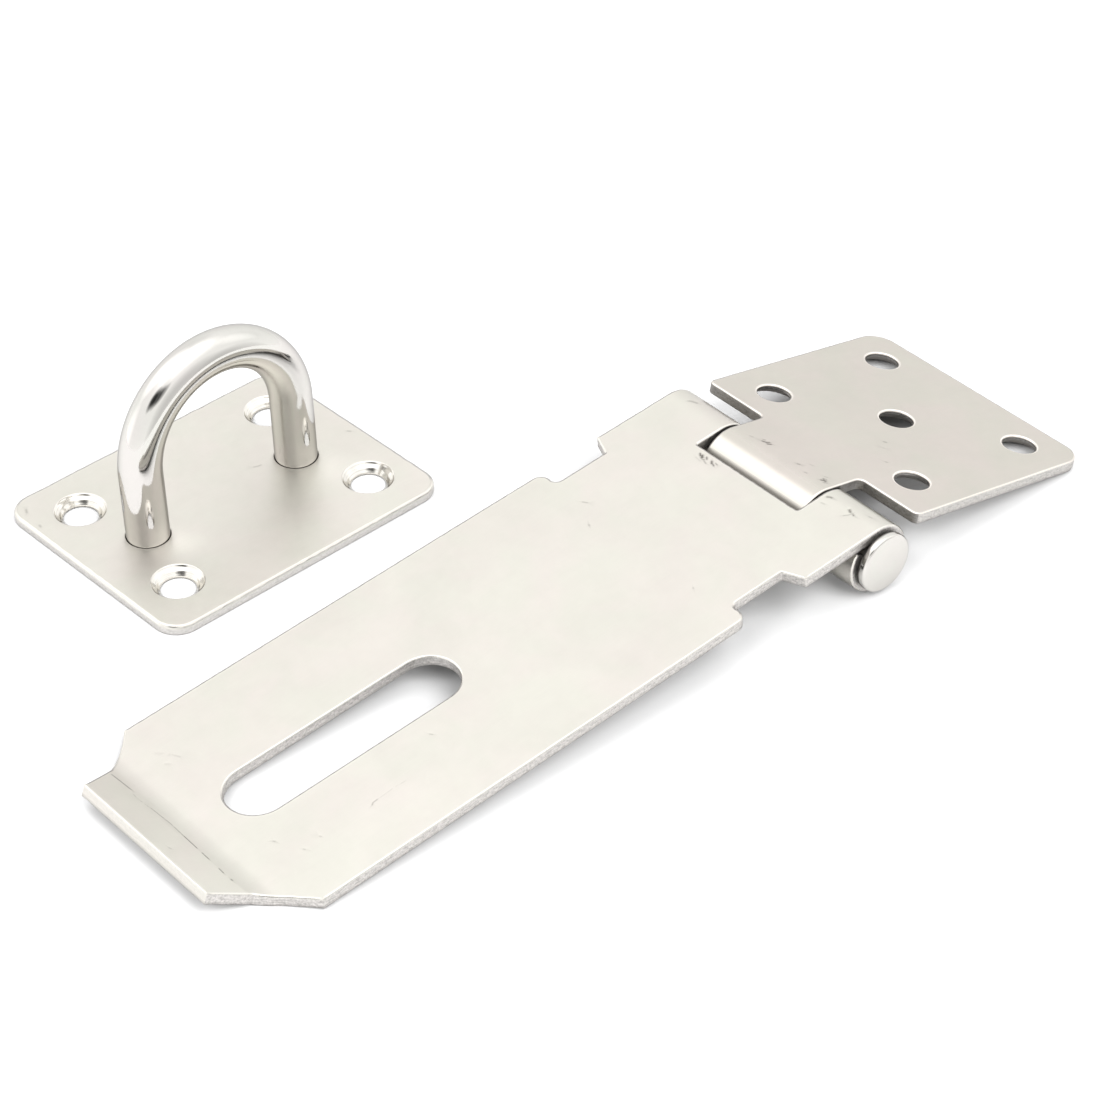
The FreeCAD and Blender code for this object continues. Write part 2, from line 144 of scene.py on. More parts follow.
def developed(u):
    """Plan distance from the hinge to distance along the strap's outer face."""
    if u <= BEND_U:
        return u
    if u <= BEND_U + BEND_R_IN * math.sin(LIP_A):
        return BEND_U + BEND_R_IN * math.asin((u - BEND_U) / BEND_R_IN)
    return BEND_U + BEND_R_IN * LIP_A + (u - BEND_U - BEND_R_IN * math.sin(LIP_A)) / math.cos(LIP_A)


# ------------------------------------------------------------- outlines in plan
def arc_through(a, m, b, step=0.28):
    """Points from a to b on the circle through a, m and b, a left out."""
    (ax, ay), (mx, my), (bx, by) = a, m, b
    d = 2 * (ax * (my - by) + mx * (by - ay) + bx * (ay - my))
    if abs(d) < 1e-9:
        return [b]
    ux = ((ax * ax + ay * ay) * (my - by) + (mx * mx + my * my) * (by - ay) + (bx * bx + by * by) * (ay - my)) / d
    uy = ((ax * ax + ay * ay) * (bx - mx) + (mx * mx + my * my) * (ax - bx) + (bx * bx + by * by) * (mx - ax)) / d
    r = math.hypot(ax - ux, ay - uy)
    t0, tm, t1 = (math.atan2(y - uy, x - ux) for x, y in (a, m, b))
    def norm(t):
        return t % (2 * math.pi)
    if norm(tm - t0) > norm(t1 - t0):
        sweep = norm(t1 - t0) - 2 * math.pi
    else:
        sweep = norm(t1 - t0)
    n = max(3, int(abs(sweep) * r / step))
    return [(ux + r * math.cos(t0 + sweep * k / n), uy + r * math.sin(t0 + sweep * k / n)) for k in range(1, n + 1)]


def soften(pts, radii=0.22, limit=14.0, n=5):
    """Round each true corner of a closed outline; radii is one number or a list."""
    out = []
    N = len(pts)
    for i in range(N):
        p, a, b = (np.array(pts[k % N], float) for k in (i, i - 1, i + 1))
        r = radii if not isinstance(radii, (list, tuple)) else radii[i]
        d1, d2 = p - a, b - p
        l1, l2 = np.hypot(*d1), np.hypot(*d2)
        d1, d2 = d1 / l1, d2 / l2
        turn = math.acos(max(-1.0, min(1.0, float(d1 @ d2))))
        if math.degrees(turn) < limit or r <= 0:
            out.append(tuple(p))
            continue
        cut = min(r * math.tan(turn / 2), 0.48 * l1, 0.48 * l2)
        r = cut / math.tan(turn / 2)
        sign = 1.0 if d1[0] * d2[1] - d1[1] * d2[0] > 0 else -1.0
        c = p - d1 * cut + sign * r * np.array([-d1[1], d1[0]])
        s0 = p - d1 * cut - c
        k_n = max(n, int(turn * r / 0.22))
        for k in range(k_n + 1):
            t = sign * turn * k / k_n
            out.append((c[0] + s0[0] * math.cos(t) - s0[1] * math.sin(t),
                        c[1] + s0[0] * math.sin(t) + s0[1] * math.cos(t)))
    return out


def resample(pts, step=0.30):
    out = []
    N = len(pts)
    for i in range(N):
        a, b = np.array(pts[i], float), np.array(pts[(i + 1) % N], float)
        l = np.hypot(*(b - a))
        if l < 1e-7:
            continue
        k = max(1, int(math.ceil(l / step)))
        for j in range(k):
            out.append(tuple(a + (b - a) * j / k))
    return np.array(out)


def circle(cx, cy, r, n, clockwise=True):
    s = -1.0 if clockwise else 1.0
    return np.array([(cx + r * math.cos(s * 2 * math.pi * k / n), cy + r * math.sin(s * 2 * math.pi * k / n)) for k in range(n)])


def strap_outline():
    def side(s):
        """From the lip's end to the hinge's notch on one side, s = +1 or -1."""
        sc = SCALLOP_POS if s > 0 else SCALLOP_NEG
        end = LIP_END_POS if s > 0 else LIP_END_NEG
        q = [(-developed(p[0]), s * p[1]) for p in sc]
        pts = [(-(BEND_U + BEND_R_IN * LIP_A + LIP_LEN), s * end), q[2]]
        pts += arc_through(q[2], q[1], q[0])
        pts.append((-NOTCH_FULL_U, s * STRAP_HALF_W))
        m = NOTCH_MID
        er = ((NOTCH_FULL_U - m[0]) ** 2 + (STRAP_HALF_W - m[1]) ** 2) / (2 * (STRAP_HALF_W - m[1]))
        ph = math.asin(min(1.0, (NOTCH_FULL_U - m[0]) / er))
        e = (-(NOTCH_FULL_U - er * math.sin(ph / 2)), s * (STRAP_HALF_W - er * (1 - math.cos(ph / 2))))
        pts += arc_through((-NOTCH_FULL_U, s * STRAP_HALF_W), e, (-m[0], s * m[1]), 0.2)
        cr = ((m[0] - NOTCH_END_U) ** 2 + (m[1] - NOTCH_HALF_W) ** 2) / (2 * (m[1] - NOTCH_HALF_W))
        th = math.asin(min(1.0, (m[0] - NOTCH_END_U) / cr))
        e = (-(NOTCH_END_U + cr * math.sin(th / 2)), s * (NOTCH_HALF_W + cr * (1 - math.cos(th / 2))))
        pts += arc_through((-m[0], s * m[1]), e, (-NOTCH_END_U, s * NOTCH_HALF_W), 0.2)
        pts.append((-NOTCH_IN_U, s * NOTCH_HALF_W))
        pts.append((-NOTCH_OUT_U, s * HINGE_HALF_W))
        return pts
    low = side(-1)
    high = side(1)
    mid = [(CURL_LEN, -HINGE_HALF_W), (CURL_LEN, CUT_Y[0]), (-CUT_U, CUT_Y[0]),
           (-CUT_U, CUT_Y[1]), (CURL_LEN, CUT_Y[1]), (CURL_LEN, HINGE_HALF_W)]
    pts = low + mid + high[::-1]
    return resample(soften(pts, 0.24), 0.30)


def slot_outline():
    x0, x1, h = -SLOT_U[1], -SLOT_U[0], SLOT_HALF_W
    a, b = x0 + h, x1 - h
    pts = [(a, -h)]
    pts += arc_through((a, -h), (x0, 0), (a, h), 0.24)
    pts.append((b, h))
    pts += arc_through((b, h), (x1, 0), (b, -h), 0.24)
    return resample(pts[:-1] if pts[-1] == pts[0] else pts, 0.28)


def leaf_outline():
    k0, k1 = NECK_Y
    n, f, w = LEAF_NEAR_U, LEAF_FAR_U, LEAF_HALF_W
    pts = [(-CURL_LEN, k0), (n, k0), (n, -w), (f, -w), (f, w), (n, w), (n, k1), (-CURL_LEN, k1)]
    rad = [0.24, NECK_FILLET, LEAF_NEAR_CORNER, LEAF_FAR_CORNER, LEAF_FAR_CORNER,
           LEAF_NEAR_CORNER, NECK_FILLET, 0.24]
    return resample(soften(pts, rad), 0.30)


def plate_outline():
    hx, hy = PLATE_L / 2, PLATE_W / 2
    ox, oy = PLATE_OFFSET
    pts = [(ox - hx, oy - hy), (ox + hx, oy - hy), (ox + hx, oy + hy), (ox - hx, oy + hy)]
    return resample(soften(pts, PLATE_CORNER), 0.30)


# ------------------------------------------------------------ edge sections
# Each row is (inset from the outline, depth below the outer face, wall, cone) and
# sometimes a fifth value, how much painted shade darkens it.
def sheared(T, roll_in=0.30, roll_down=0.26, break_in=0.13, support=0.62):
    """A blanked edge: rolled over at the outer face, then the cut wall."""
    rows = [(support, 0.0, 0, 0), (roll_in + 0.05, 0.0, 0, 0)]
    for k in range(0, 6):
        a = math.radians(90 * k / 5)
        rows.append((roll_in * (1 - math.sin(a)), roll_down * (1 - math.cos(a)), (0, 0, 0, 0.15, 0.7, 1)[k],
                     (0, 0.6, 0.9, 0.8, 0.25, 0)[k]))
    # painted shade: the cut wall and the break below it darken towards the underside
    z = roll_down + 0.10
    while z < T - break_in - 0.06:
        rows.append((0.0, z, 1, 0, 0.0 if z < T - 0.42 else 0.16))
        z += 0.13
    for k in range(0, 4):
        a = math.radians(30 * k)
        rows.append((break_in * (1 - math.cos(a)), T - break_in + break_in * math.sin(a), 1 if k < 2 else 0.4, 0,
                     (0.38, 0.42, 0.3, 0.0)[k]))
    rows.append((break_in + 0.05, T, 0, 0))
    rows.append((support - 0.1, T, 0, 0))
    return rows


def countersunk_below(T, depth, roll=0.30):
    """A drilled hole seen from its plain side, its countersink on the far face."""
    rows = [(roll + 0.45, 0, 0, 0), (roll + 0.05, 0, 0, 0)]
    for k in range(0, 6):
        a = math.radians(90 * k / 5)
        rows.append((roll * (1 - math.sin(a)), roll * 0.75 * (1 - math.cos(a)), 0.0, 1.0 if 0 < k < 5 else (0.5 if k == 0 else 0.3)))
    # painted shade darkens the hole's wall and the countersink beyond it
    z0 = T - depth
    for z in np.arange(roll * 0.75 + 0.07, z0 - 0.03, 0.08):
        rows.append((0.0, float(z), 1, 0, 0.55 if z < roll * 0.75 + 0.2 else 0.30))
    rows.append((0.0, z0 - 0.02, 1, 0, 0.30))
    rows.append((0.03, z0 + 0.05, 0.6, 0.4, 0.55))
    for k in range(1, 8):
        rows.append((depth * k / 8.0, z0 + depth * k / 8.0, 0, 1, 0.62))
    rows += [(depth - 0.03, T - 0.05, 0, 1), (depth + 0.03, T - 0.008, 0, 0.5), (depth + 0.10, T, 0, 0),
             (depth + 0.45, T, 0, 0)]
    return rows


def countersunk_above(T, depth):
    # painted shade: a faint dark line at the cone's top edge, and the bore below the cone darkened
    rows = [(depth + 0.60, 0, 0, 0), (depth + 0.15, 0, 0, 0), (depth + 0.09, 0.004, 0, 0.3, 0.10),
            (depth + 0.04, 0.025, 0, 0.8, 0.16), (depth - 0.01, 0.06, 0, 1, 0.05)]
    # the cutter chattered a little, so the cone has a faint waist
    for k in range(1, 20):
        q = k / 20.0
        z = float(np.interp(q, (0, 0.16, 0.58, 0.76, 1.0), (0, 0.19, 0.53, 0.745, 0.985)))
        rows.append((depth * (1 - q), depth * z + 0.03 * (1 - q), 0, 1))
    rows += [(0.03, depth - 0.01, 0, 1), (0.0, depth + 0.05, 0.2, 1, 0.15), (0.0, depth + 0.10, 0.8, 0.2, 0.45), (0.0, T - 0.12, 0.8, 0.2, 0.55),
             (0.02, T - 0.05, 0.4, 0.3), (0.08, T, 0, 0), (0.45, T, 0, 0)]
    return rows


def leg_hole(T):
    # painted shade darkens the hole's wall where the leg stands in it
    return [(0.95, 0, 0, 0), (0.20, 0, 0, 0), (0.14, 0.012, 0, 0), (0.09, 0.04, 0, 0, 0.3), (0.05, 0.10, 1, 0, 0.85),
            (0.02, 0.22, 1, 0, 0.9),
            (0.0, 0.6, 1, 0), (0.0, T - 0.3, 1, 0), (0.0, T - 0.06, 1, 0), (0.05, T, 0, 0), (0.5, T, 0, 0)]


def rounded(T, r_top=0.45, r_bot=0.15):
    # painted shade: a faint line where the top starts to round over, and darker towards the bottom edge
    rows = [(r_top + 0.35, 0, 0, 0), (r_top + 0.04, 0, 0, 0)]
    for k in range(0, 8):
        a = math.radians(90 * k / 7)
        rows.append((r_top * (1 - math.sin(a)), r_top * (1 - math.cos(a)), 0.0 if k < 5 else 0.3,
                     (0, 0, 0.3, 0.7, 0.8, 0.5, 0.2, 0)[k], (0.10, 0.07, 0, 0, 0, 0, 0, 0)[k]))
    for z in np.arange(r_top + 0.1, T - r_bot - 0.05, 0.12):
        rows.append((0.0, float(z), 1, 0))
    for k in range(0, 4):
        a = math.radians(30 * k)
        rows.append((r_bot * (1 - math.cos(a)), T - r_bot + r_bot * math.sin(a), 1 if k < 2 else 0.4, 0,
                     (0.22, 0.32, 0.2, 0.0)[k]))
    rows += [(r_bot + 0.05, T, 0, 0), (r_top + 0.3, T, 0, 0)]
    return rows


# ------------------------------------------------------------ mesh building
def left_mitre(P):
    d1 = P - np.roll(P, 1, 0)
    d2 = np.roll(P, -1, 0) - P
    d1 /= np.linalg.norm(d1, axis=1)[:, None]
    d2 /= np.linalg.norm(d2, axis=1)[:, None]
    n1 = np.stack([-d1[:, 1], d1[:, 0]], 1)
    n2 = np.stack([-d2[:, 1], d2[:, 0]], 1)
    k = 1.0 + (n1 * n2).sum(1)
    return (n1 + n2) / np.maximum(k, 0.25)[:, None]


def inset_share(P, deepest):
    """How much of its inset each point of an outline may take, so that the inset
    rings don't cross at a tight outward corner."""
    n = len(P)
    d1 = P - np.roll(P, 1, 0)
    d2 = np.roll(P, -1, 0) - P
    l1, l2 = np.linalg.norm(d1, axis=1), np.linalg.norm(d2, axis=1)
    turn = np.arctan2(d1[:, 0] * d2[:, 1] - d1[:, 1] * d2[:, 0], (d1 * d2).sum(1))
    L = np.concatenate([[0], np.cumsum(l2)[:-1]])
    total = l2.sum()
    tight = (turn > math.radians(6)) & ((l1 + l2) / 2 / np.maximum(turn, 1e-6) < 0.8)
    share = np.ones(n)
    done = np.zeros(n, bool)
    for i in range(n):
        if not tight[i] or done[i]:
            continue
        run = [i]
        for step in (1, -1):
            k = (i + step) % n
            while tight[k] and k not in run and len(run) < 40:
                run.append(k)
                k = (k + step) % n
        for k in run:
            done[k] = True
        th = sum(turn[k] for k in run)
        pts = P[run]
        mid = run[int(np.argmin(np.abs(pts - pts.mean(0)).sum(1)))]
        arc = sum(l2[k] for k in run)
        r = arc / max(th, 1e-6)
        gap = np.abs(L - L[mid])
        gap = np.minimum(gap, total - gap)
        gap = np.maximum(gap - r * th / 2, 0.0) + r * math.tan(min(th, 2.6) / 2)
        cap = np.maximum(0.80 * r, (gap - 0.04) / math.tan(min(th, 2.6) / 2))
        cap = np.where(gap <= r * math.tan(min(th, 2.6) / 2) + 1e-3, 0.80 * r, cap)
        share = np.minimum(share, cap / deepest)
    return np.clip(share, 0.05, 1.0)


def inside(points, loops):
    """Even-odd test of many points against several closed outlines."""
    res = np.zeros(len(points), bool)
    px, py = points[:, 0], points[:, 1]
    for P in loops:
        x0, y0 = P[:, 0], P[:, 1]
        x1, y1 = np.roll(x0, -1), np.roll(y0, -1)
        for i in range(len(P)):
            c = (y0[i] > py) != (y1[i] > py)
            if not c.any():
                continue
            xi = x0[i] + (py[c] - y0[i]) * (x1[i] - x0[i]) / (y1[i] - y0[i])
            idx = np.where(c)[0][px[c] < xi]
            res[idx] ^= True
    return res


def near(points, cloud, dist):
    """True where a point has one of the cloud within dist."""
    res = np.zeros(len(points), bool)
    for k in range(0, len(points), 400):
        d = ((points[k:k + 400, None, :] - cloud[None, :, :]) ** 2).sum(2)
        res[k:k + 400] = (d < dist * dist).any(1)
    return res


def fill(loops, inner):
    """Triangles of the region between the outlines, through the inner points too.
    Loops are index arrays with coordinates; returns index triples."""
    coords, ids, edges = [], [], []
    for P, idx in loops:
        s = len(coords)
        coords += [Vector((float(p[0]), float(p[1]))) for p in P]
        ids += list(idx)
        n = len(P)
        edges += [(s + k, s + (k + 1) % n) for k in range(n)]
    P, idx = inner
    coords += [Vector((float(p[0]), float(p[1]))) for p in P]
    ids += list(idx)
    vco, _, tris, ov, _, _ = delaunay_2d_cdt(coords, edges, [], 0, 1e-6, True)
    arr = np.array([(v[0], v[1]) for v in vco])
    cen = np.array([arr[list(t)].mean(0) for t in tris])
    keep = inside(cen, [np.array(L) for L, _ in loops])
    out = []
    for t, k in zip(tris, keep):
        if not k:
            continue
        q = []
        for i in t:
            if not ov[i]:
                q = None
                break
            q.append(ids[ov[i][0]])
        if q and len(set(q)) == 3:
            out.append(tuple(q))
    return out


def noise_at(x, y, z, scale, octaves=1):
    out = np.empty(len(x))
    for i in range(len(x)):
        p = Vector((x[i] / scale, y[i] / scale, z[i] / scale if hasattr(z, "__len__") else z))
        s, a, tot = 0.0, 1.0, 0.0
        for _ in range(octaves):
            s += a * noise.noise(p)
            tot += a
            p = p * 2.03
            a *= 0.5
        out[i] = s / tot
    return out


class Marks:
    """Nicks, scratches and the crease: short runs pressed or scored in one face."""

    def __init__(self, runs):
        # each run: list of points, width, depth, darkness, how broken it is, seed
        self.runs = runs

    def points(self):
        pts = []
        for run in self.runs:
            P, w = np.array(run[0], float), run[1]
            for a, b in zip(P[:-1], P[1:]):
                l = np.hypot(*(b - a))
                n = max(2, int(l / (w * 0.9)))
                d = (b - a) / l
                q = np.array([-d[1], d[0]])
                for k in range(-1, n + 2):
                    for o in (-3.2, -1.7, -0.8, 0.0, 0.8, 1.7, 3.2):
                        if abs(o) > 2 and k % 3:
                            continue
                        pts.append(a + d * (l * k / n) + q * o * w + 1e-4 * np.array([math.sin(k * 7 + o), math.cos(k * 5 + o)]))
        return np.array(pts) if pts else np.zeros((0, 2))

    def field(self, x, v):
        """(depth, darkness) at points."""
        dep, dark = np.zeros(len(x)), np.zeros(len(x))
        for run in self.runs:
            P, w, depth, dk, broken, seed = run
            P = np.array(P, float)
            lo, hi = P.min(0) - 5 * w, P.max(0) + 5 * w
            m = np.where((x > lo[0]) & (x < hi[0]) & (v > lo[1]) & (v < hi[1]))[0]
            if not len(m):
                continue
            best = np.full(len(m), 1e9)
            for a, b in zip(P[:-1], P[1:]):
                d = b - a
                t = np.clip(((x[m] - a[0]) * d[0] + (v[m] - a[1]) * d[1]) / (d @ d), 0, 1)
                best = np.minimum(best, np.hypot(x[m] - a[0] - t * d[0], v[m] - a[1] - t * d[1]))
            nz = noise_at(x[m], v[m], np.full(len(m), seed * 3.7), 0.9, 2) * 0.5 + 0.5
            gate = np.clip((nz - broken) * 6.0 + 0.5, 0, 1) if broken > 0 else 1.0
            k = np.exp(-(best / w) ** 2) * gate
            dep[m] = np.maximum(dep[m], k * depth)
            dark[m] = np.maximum(dark[m], k * dk)
        return dep, dark


def build_sheet(name, outlines, T, place, matrix, xs, vs, marks=None, under=None,
                wave=0.012, rough_wall=0.030, seed=1.0, barrel_at=None, shade=None, far_rim_shade=0.30, far_shaded_loops=1, painted_light=None):
    """One sheet part with every face made: outer face, underside, cut edges, holes."""
    V2, wall, cone, rim, edge_shade = [], [], [], [], []
    faces = []
    tops, bottoms = [], []
    for li, (P, rows) in enumerate(outlines):
        n = len(P)
        M = left_mitre(P)
        seg = np.linalg.norm(np.roll(P, -1, 0) - P, axis=1)
        L = np.concatenate([[0], np.cumsum(seg)[:-1]])
        wob = noise_at(P[:, 0], P[:, 1], np.full(n, seed + li), 1.1, 2)
        share = inset_share(P, 1.35 * max(row[0] for row in rows))
        rings = []
        out = -M / np.linalg.norm(M, axis=1)[:, None]
        # painted shade: the rolled rims of the edges that look the +X, +Y way take the dark wall colour and are
        # darkened further
        far_edge_shade = np.clip((out @ np.array([0.69, 0.73]) - 0.05) / 0.35, 0, 1) if li < far_shaded_loops else np.zeros(n)
        extra_dim = shade(P, out, li) if shade else np.zeros(n)
        for k, row in enumerate(rows):
            d, t, w, c = row[:4]
            row_shade = row[4] if len(row) > 4 else 0.0
            dd = float(d) * share
            tt = np.full(n, float(t))
            if w >= 0.99 and c < 0.5:
                f = min(1.0, max(0.0, (t - 0.45) / 0.3))
                nz = noise_at(P[:, 0] * 1.0, P[:, 1] * 1.0, np.full(n, seed * 2 + t * 1.2), 0.45, 2)
                dd = dd + rough_wall * (0.25 + 0.75 * f) * (0.6 + nz)
            elif li == 0 and 0 < k < 7:
                dd = dd * (1.0 + 0.22 * wob)
                tt = tt * (1.0 + 0.30 * wob)
            q = P + M * dd[:, None]
            base = len(V2)
            V2 += [(q[i, 0], q[i, 1], tt[i]) for i in range(n)]
            steep = 1 < k < len(rows) - 3 and t < 0.5
            wl = np.maximum(w, far_edge_shade) if steep else np.full(n, float(w))
            cn = c * (1 - far_edge_shade) if steep else np.full(n, float(c))
            if li == 0 and w > 0.5:
                # painted light: the lip's end face takes part of the paler cone colour and less of the wall colour
                lip_end_lit = (P[:, 0] < -100.0) & (out[:, 0] < -0.85)
                cn = np.where(lip_end_lit, 0.30, cn)
                wl = np.where(lip_end_lit, 0.30 * wl, wl)
            wall += list(wl)
            cone += list(cn)
            gr = np.full(n, float(row_shade))
            if steep:
                gr = np.maximum(gr, far_rim_shade * far_edge_shade)
            if w > 0.5 and c < 0.5:
                gr = np.maximum(gr, extra_dim)
            edge_shade += list(gr)
            rim += [(L[i], tt[i], 11.0 * li) for i in range(n)]
            rings.append(np.arange(base, base + n))
        for a, b in zip(rings[:-1], rings[1:]):
            aj, bj = np.roll(a, -1), np.roll(b, -1)
            faces += [(int(a[i]), int(b[i]), int(bj[i]), int(aj[i])) for i in range(n)]
        tops.append(rings[0])
        bottoms.append(rings[-1])
    arr = np.array(V2)
    gx, gv = np.meshgrid(xs, vs, indexing="ij")
    grid = np.stack([gx.ravel(), gv.ravel()], 1)
    for which, rings in (("top", tops), ("bottom", bottoms)):
        loops = [(arr[r][:, :2], r) for r in rings]
        cloud = np.concatenate([l[0] for l in loops])
        pts = grid
        mk = marks if which == "top" else under
        if mk is not None and len(mk.points()):
            extra = mk.points()
            pts = pts[~near(pts, extra, 0.45)]
            ok = np.ones(len(extra), bool)
            cell = {}
            for i, p in enumerate(extra):
                key = (round(p[0] / 0.05), round(p[1] / 0.05))
                if key in cell:
                    ok[i] = False
                cell[key] = 1
            extra = extra[ok]
            extra = extra[inside(extra, [l[0] for l in loops])]
            extra = extra[~near(extra, cloud, 0.10)]
        else:
            extra = np.zeros((0, 2))
        pts = pts[inside(pts, [l[0] for l in loops])]
        pts = pts[~near(pts, cloud, 0.22)]
        pts = np.concatenate([pts, extra])
        base = len(V2)
        t0 = 0.0 if which == "top" else T
        V2 += [(p[0], p[1], t0) for p in pts]
        wall += [0.0] * len(pts)
        cone += [0.0] * len(pts)
        edge_shade += [0.0] * len(pts)
        rim += [(0.0, t0, 0.0)] * len(pts)
        tris = fill(loops, (pts, range(base, base + len(pts))))
        if which == "bottom":
            tris = [t[::-1] for t in tris]
        faces += tris
    arr = np.array(V2)
    x, v, t = arr.T
    wall_a, cone_a = np.array(wall), np.array(cone)
    # the faces are never dead flat: a faint wave, and the marks pressed in them
    wv = noise_at(x, v, np.full(len(x), 4.2 * seed), 13.0, 2) * wave
    dep, dark = (marks.field(x, v) if marks is not None else (np.zeros(len(x)), np.zeros(len(x))))
    dep2, dark2 = (under.field(x, v) if under is not None else (np.zeros(len(x)), np.zeros(len(x))))
    up, down = t < 0.02, t > T - 0.02
    keep = (wall_a < 0.01) & (cone_a < 0.01)
    shift = np.where(up & keep, np.abs(wv) + dep, 0.0) - np.where(down & keep, np.abs(wv) * 0.7 + dep2, 0.0)
    co = place(x, v, t + shift)
    # the dark of the marks, together with the painted shade of the edge rows
    dark = np.maximum(np.where(up, dark, np.where(down, dark2, 0.0)), np.array(edge_shade))
    if barrel_at:
        # painted shade inside the rolled barrel, on the inner face of the curl
        inner = np.clip((x * barrel_at - 0.6) / 1.6, 0, 1) * np.clip((t / T - 0.55) / 0.4, 0, 1)
        dark = np.maximum(dark, 0.80 * inner)
    if barrel_at == -1.0:
        # painted shade on the barrel's outer face where it looks at the strap's cut-out edge
        dark = np.maximum(dark, 0.56 * np.clip((-4.62 - x) / 0.40, 0, 1) * np.clip((x + 7.4) / 1.2, 0, 1) * (t < 0.02))
    polish = np.clip(x * barrel_at / 2.0, 0, 1) * (wall_a < 0.3) if barrel_at else np.zeros(len(x))
    return make_object(name, co, faces, matrix, {
        "sv": arr, "rim": np.array(rim), "wall": wall_a, "cone": cone_a, "marks_and_shade": dark, "polish": polish,
        "light_gain": painted_light(x, v, t) if painted_light else np.zeros(len(x))})


def make_object(name, co, faces, matrix, attributes):
    M = np.array(matrix)
    co = co @ M[:3, :3].T + M[:3, 3]
    me = bpy.data.meshes.new(name)
    me.from_pydata([tuple(p) for p in co * 0.001], [], [tuple(int(i) for i in f) for f in faces])
    me.validate()
    for key, val in attributes.items():
        if val.ndim == 2:
            at = me.attributes.new(key, "FLOAT_VECTOR", "POINT")
            at.data.foreach_set("vector", np.ascontiguousarray(val, np.float32).ravel())
        else:
            at = me.attributes.new(key, "FLOAT", "POINT")
            at.data.foreach_set("value", np.ascontiguousarray(val, np.float32))
    me.polygons.foreach_set("use_smooth", [True] * len(me.polygons))
    me.update()
    ob = bpy.data.objects.new(name, me)
    bpy.context.scene.collection.objects.link(ob)
    return ob


# ------------------------------------------------------------ where the marks are
# (points along the sheet, width, depth, darkness, brokenness, seed)
STRAP_MARKS = [
    # where the lip was struck up: a fine broken line across the strap
    ([(-98.45, 14.9), (-98.25, 12.5), (-98.10, 10.1)], 0.075, 0.02, 0.62, 0.42, 1),
    ([(-98.50, 9.4), (-98.55, 8.9)], 0.07, 0.01, 0.25, 0.0, 2),
    ([(-98.55, 7.8), (-98.40, 6.6)], 0.07, 0.01, 0.42, 0.40, 3),
    ([(-98.30, 6.1), (-98.05, 2.5), (-98.15, -0.5)], 0.055, 0.01, 0.46, 0.36, 4),
    ([(-98.15, -0.5), (-98.25, -3.9), (-98.32, -6.0)], 0.060, 0.02, 0.74, 0.44, 5),
    ([(-98.38, -7.6), (-98.45, -8.8)], 0.070, 0.02, 0.74, 0.48, 6),
    ([(-98.42, -10.25), (-98.42, -10.50)], 0.11, 0.02, 0.62, 0.0, 7),
    # struck edges beside the cut-out and dents on the knuckles
    ([(-5.62, 7.75), (-5.95, 7.35)], 0.15, 0.06, 0.80, 0.10, 8),
    ([(-5.70, 7.25), (-6.05, 6.95), (-6.10, 6.55)], 0.22, 0.08, 0.85, 0.30, 9),
    ([(-5.55, 6.55), (-5.85, 6.20)], 0.13, 0.05, 0.72, 0.10, 47),
    ([(-5.65, 5.45), (-6.00, 5.10)], 0.17, 0.07, 0.80, 0.20, 48),
    ([(-5.95, 4.95), (-6.15, 4.55)], 0.13, 0.05, 0.66, 0.20, 49),
    ([(-5.60, 4.75), (-5.70, 4.35)], 0.12, 0.04, 0.50, 0.10, 50),
    ([(-6.35, 6.25), (-6.55, 5.65)], 0.12, 0.03, 0.40, 0.30, 51),
    ([(-6.55, 7.6), (-6.70, 6.6)], 0.14, 0.03, 0.16, 0.2, 10),
    ([(0.75, 17.3), (1.15, 16.8), (1.55, 16.0)], 0.20, 0.03, 0.36, 0.42, 11),
    ([(-23.35, 11.6), (-23.00, 11.0)], 0.12, 0.02, 0.34, 0.0, 12),
    ([(-25.80, 7.6), (-25.88, 7.4)], 0.13, 0.02, 0.36, 0.0, 13),
    ([(-24.50, -11.1), (-24.62, -11.3)], 0.11, 0.02, 0.25, 0.0, 14),
    ([(0.00, -10.7), (0.25, -11.0), (0.30, -11.3)], 0.18, 0.04, 0.62, 0.30, 15),
    ([(-1.35, -11.0), (-1.25, -11.5)], 0.13, 0.02, 0.24, 0.0, 16),
    ([(0.25, -14.6), (-0.10, -15.2), (-0.20, -15.8)], 0.19, 0.06, 0.68, 0.42, 17),
    ([(-1.15, -14.9), (-0.55, -15.3), (0.10, -15.5)], 0.11, 0.02, 0.34, 0.0, 18),
    ([(1.15, -17.3), (1.25, -17.8)], 0.13, 0.02, 0.26, 0.0, 19),
    # scratches and scuffs
    ([(-78.35, -12.05), (-78.00, -11.80), (-77.30, -11.75)], 0.085, 0.02, 0.42, 0.35, 20),
    ([(-76.80, -11.75), (-74.6, -11.65), (-72.76, -11.75)], 0.06, 0.01, 0.16, 0.48, 21),
    ([(-65.62, -7.6), (-65.40, -7.95)], 0.11, 0.02, 0.28, 0.0, 22),
    ([(-64.80, -3.7), (-64.60, -4.0)], 0.10, 0.02, 0.22, 0.0, 23),
    ([(-90.60, -8.3), (-90.50, -8.5)], 0.13, 0.02, 0.32, 0.0, 24),
    ([(-88.80, -11.9), (-88.70, -12.1)], 0.11, 0.02, 0.26, 0.0, 25),
    ([(-86.10, -11.6), (-86.00, -11.8)], 0.10, 0.02, 0.24, 0.0, 26),
    ([(-91.9, 13.9), (-91.2, 13.2), (-90.8, 12.5)], 0.22, 0.02, 0.10, 0.50, 27),
    ([(-90.6, 12.2), (-90.1, 11.2)], 0.12, 0.01, 0.16, 0.42, 28),
    ([(-92.3, 11.9), (-91.8, 11.1), (-91.9, 10.4)], 0.20, 0.02, 0.09, 0.50, 30),
    ([(-101.6, -2.0), (-101.5, -2.3)], 0.11, 0.02, 0.25, 0.0, 29)]
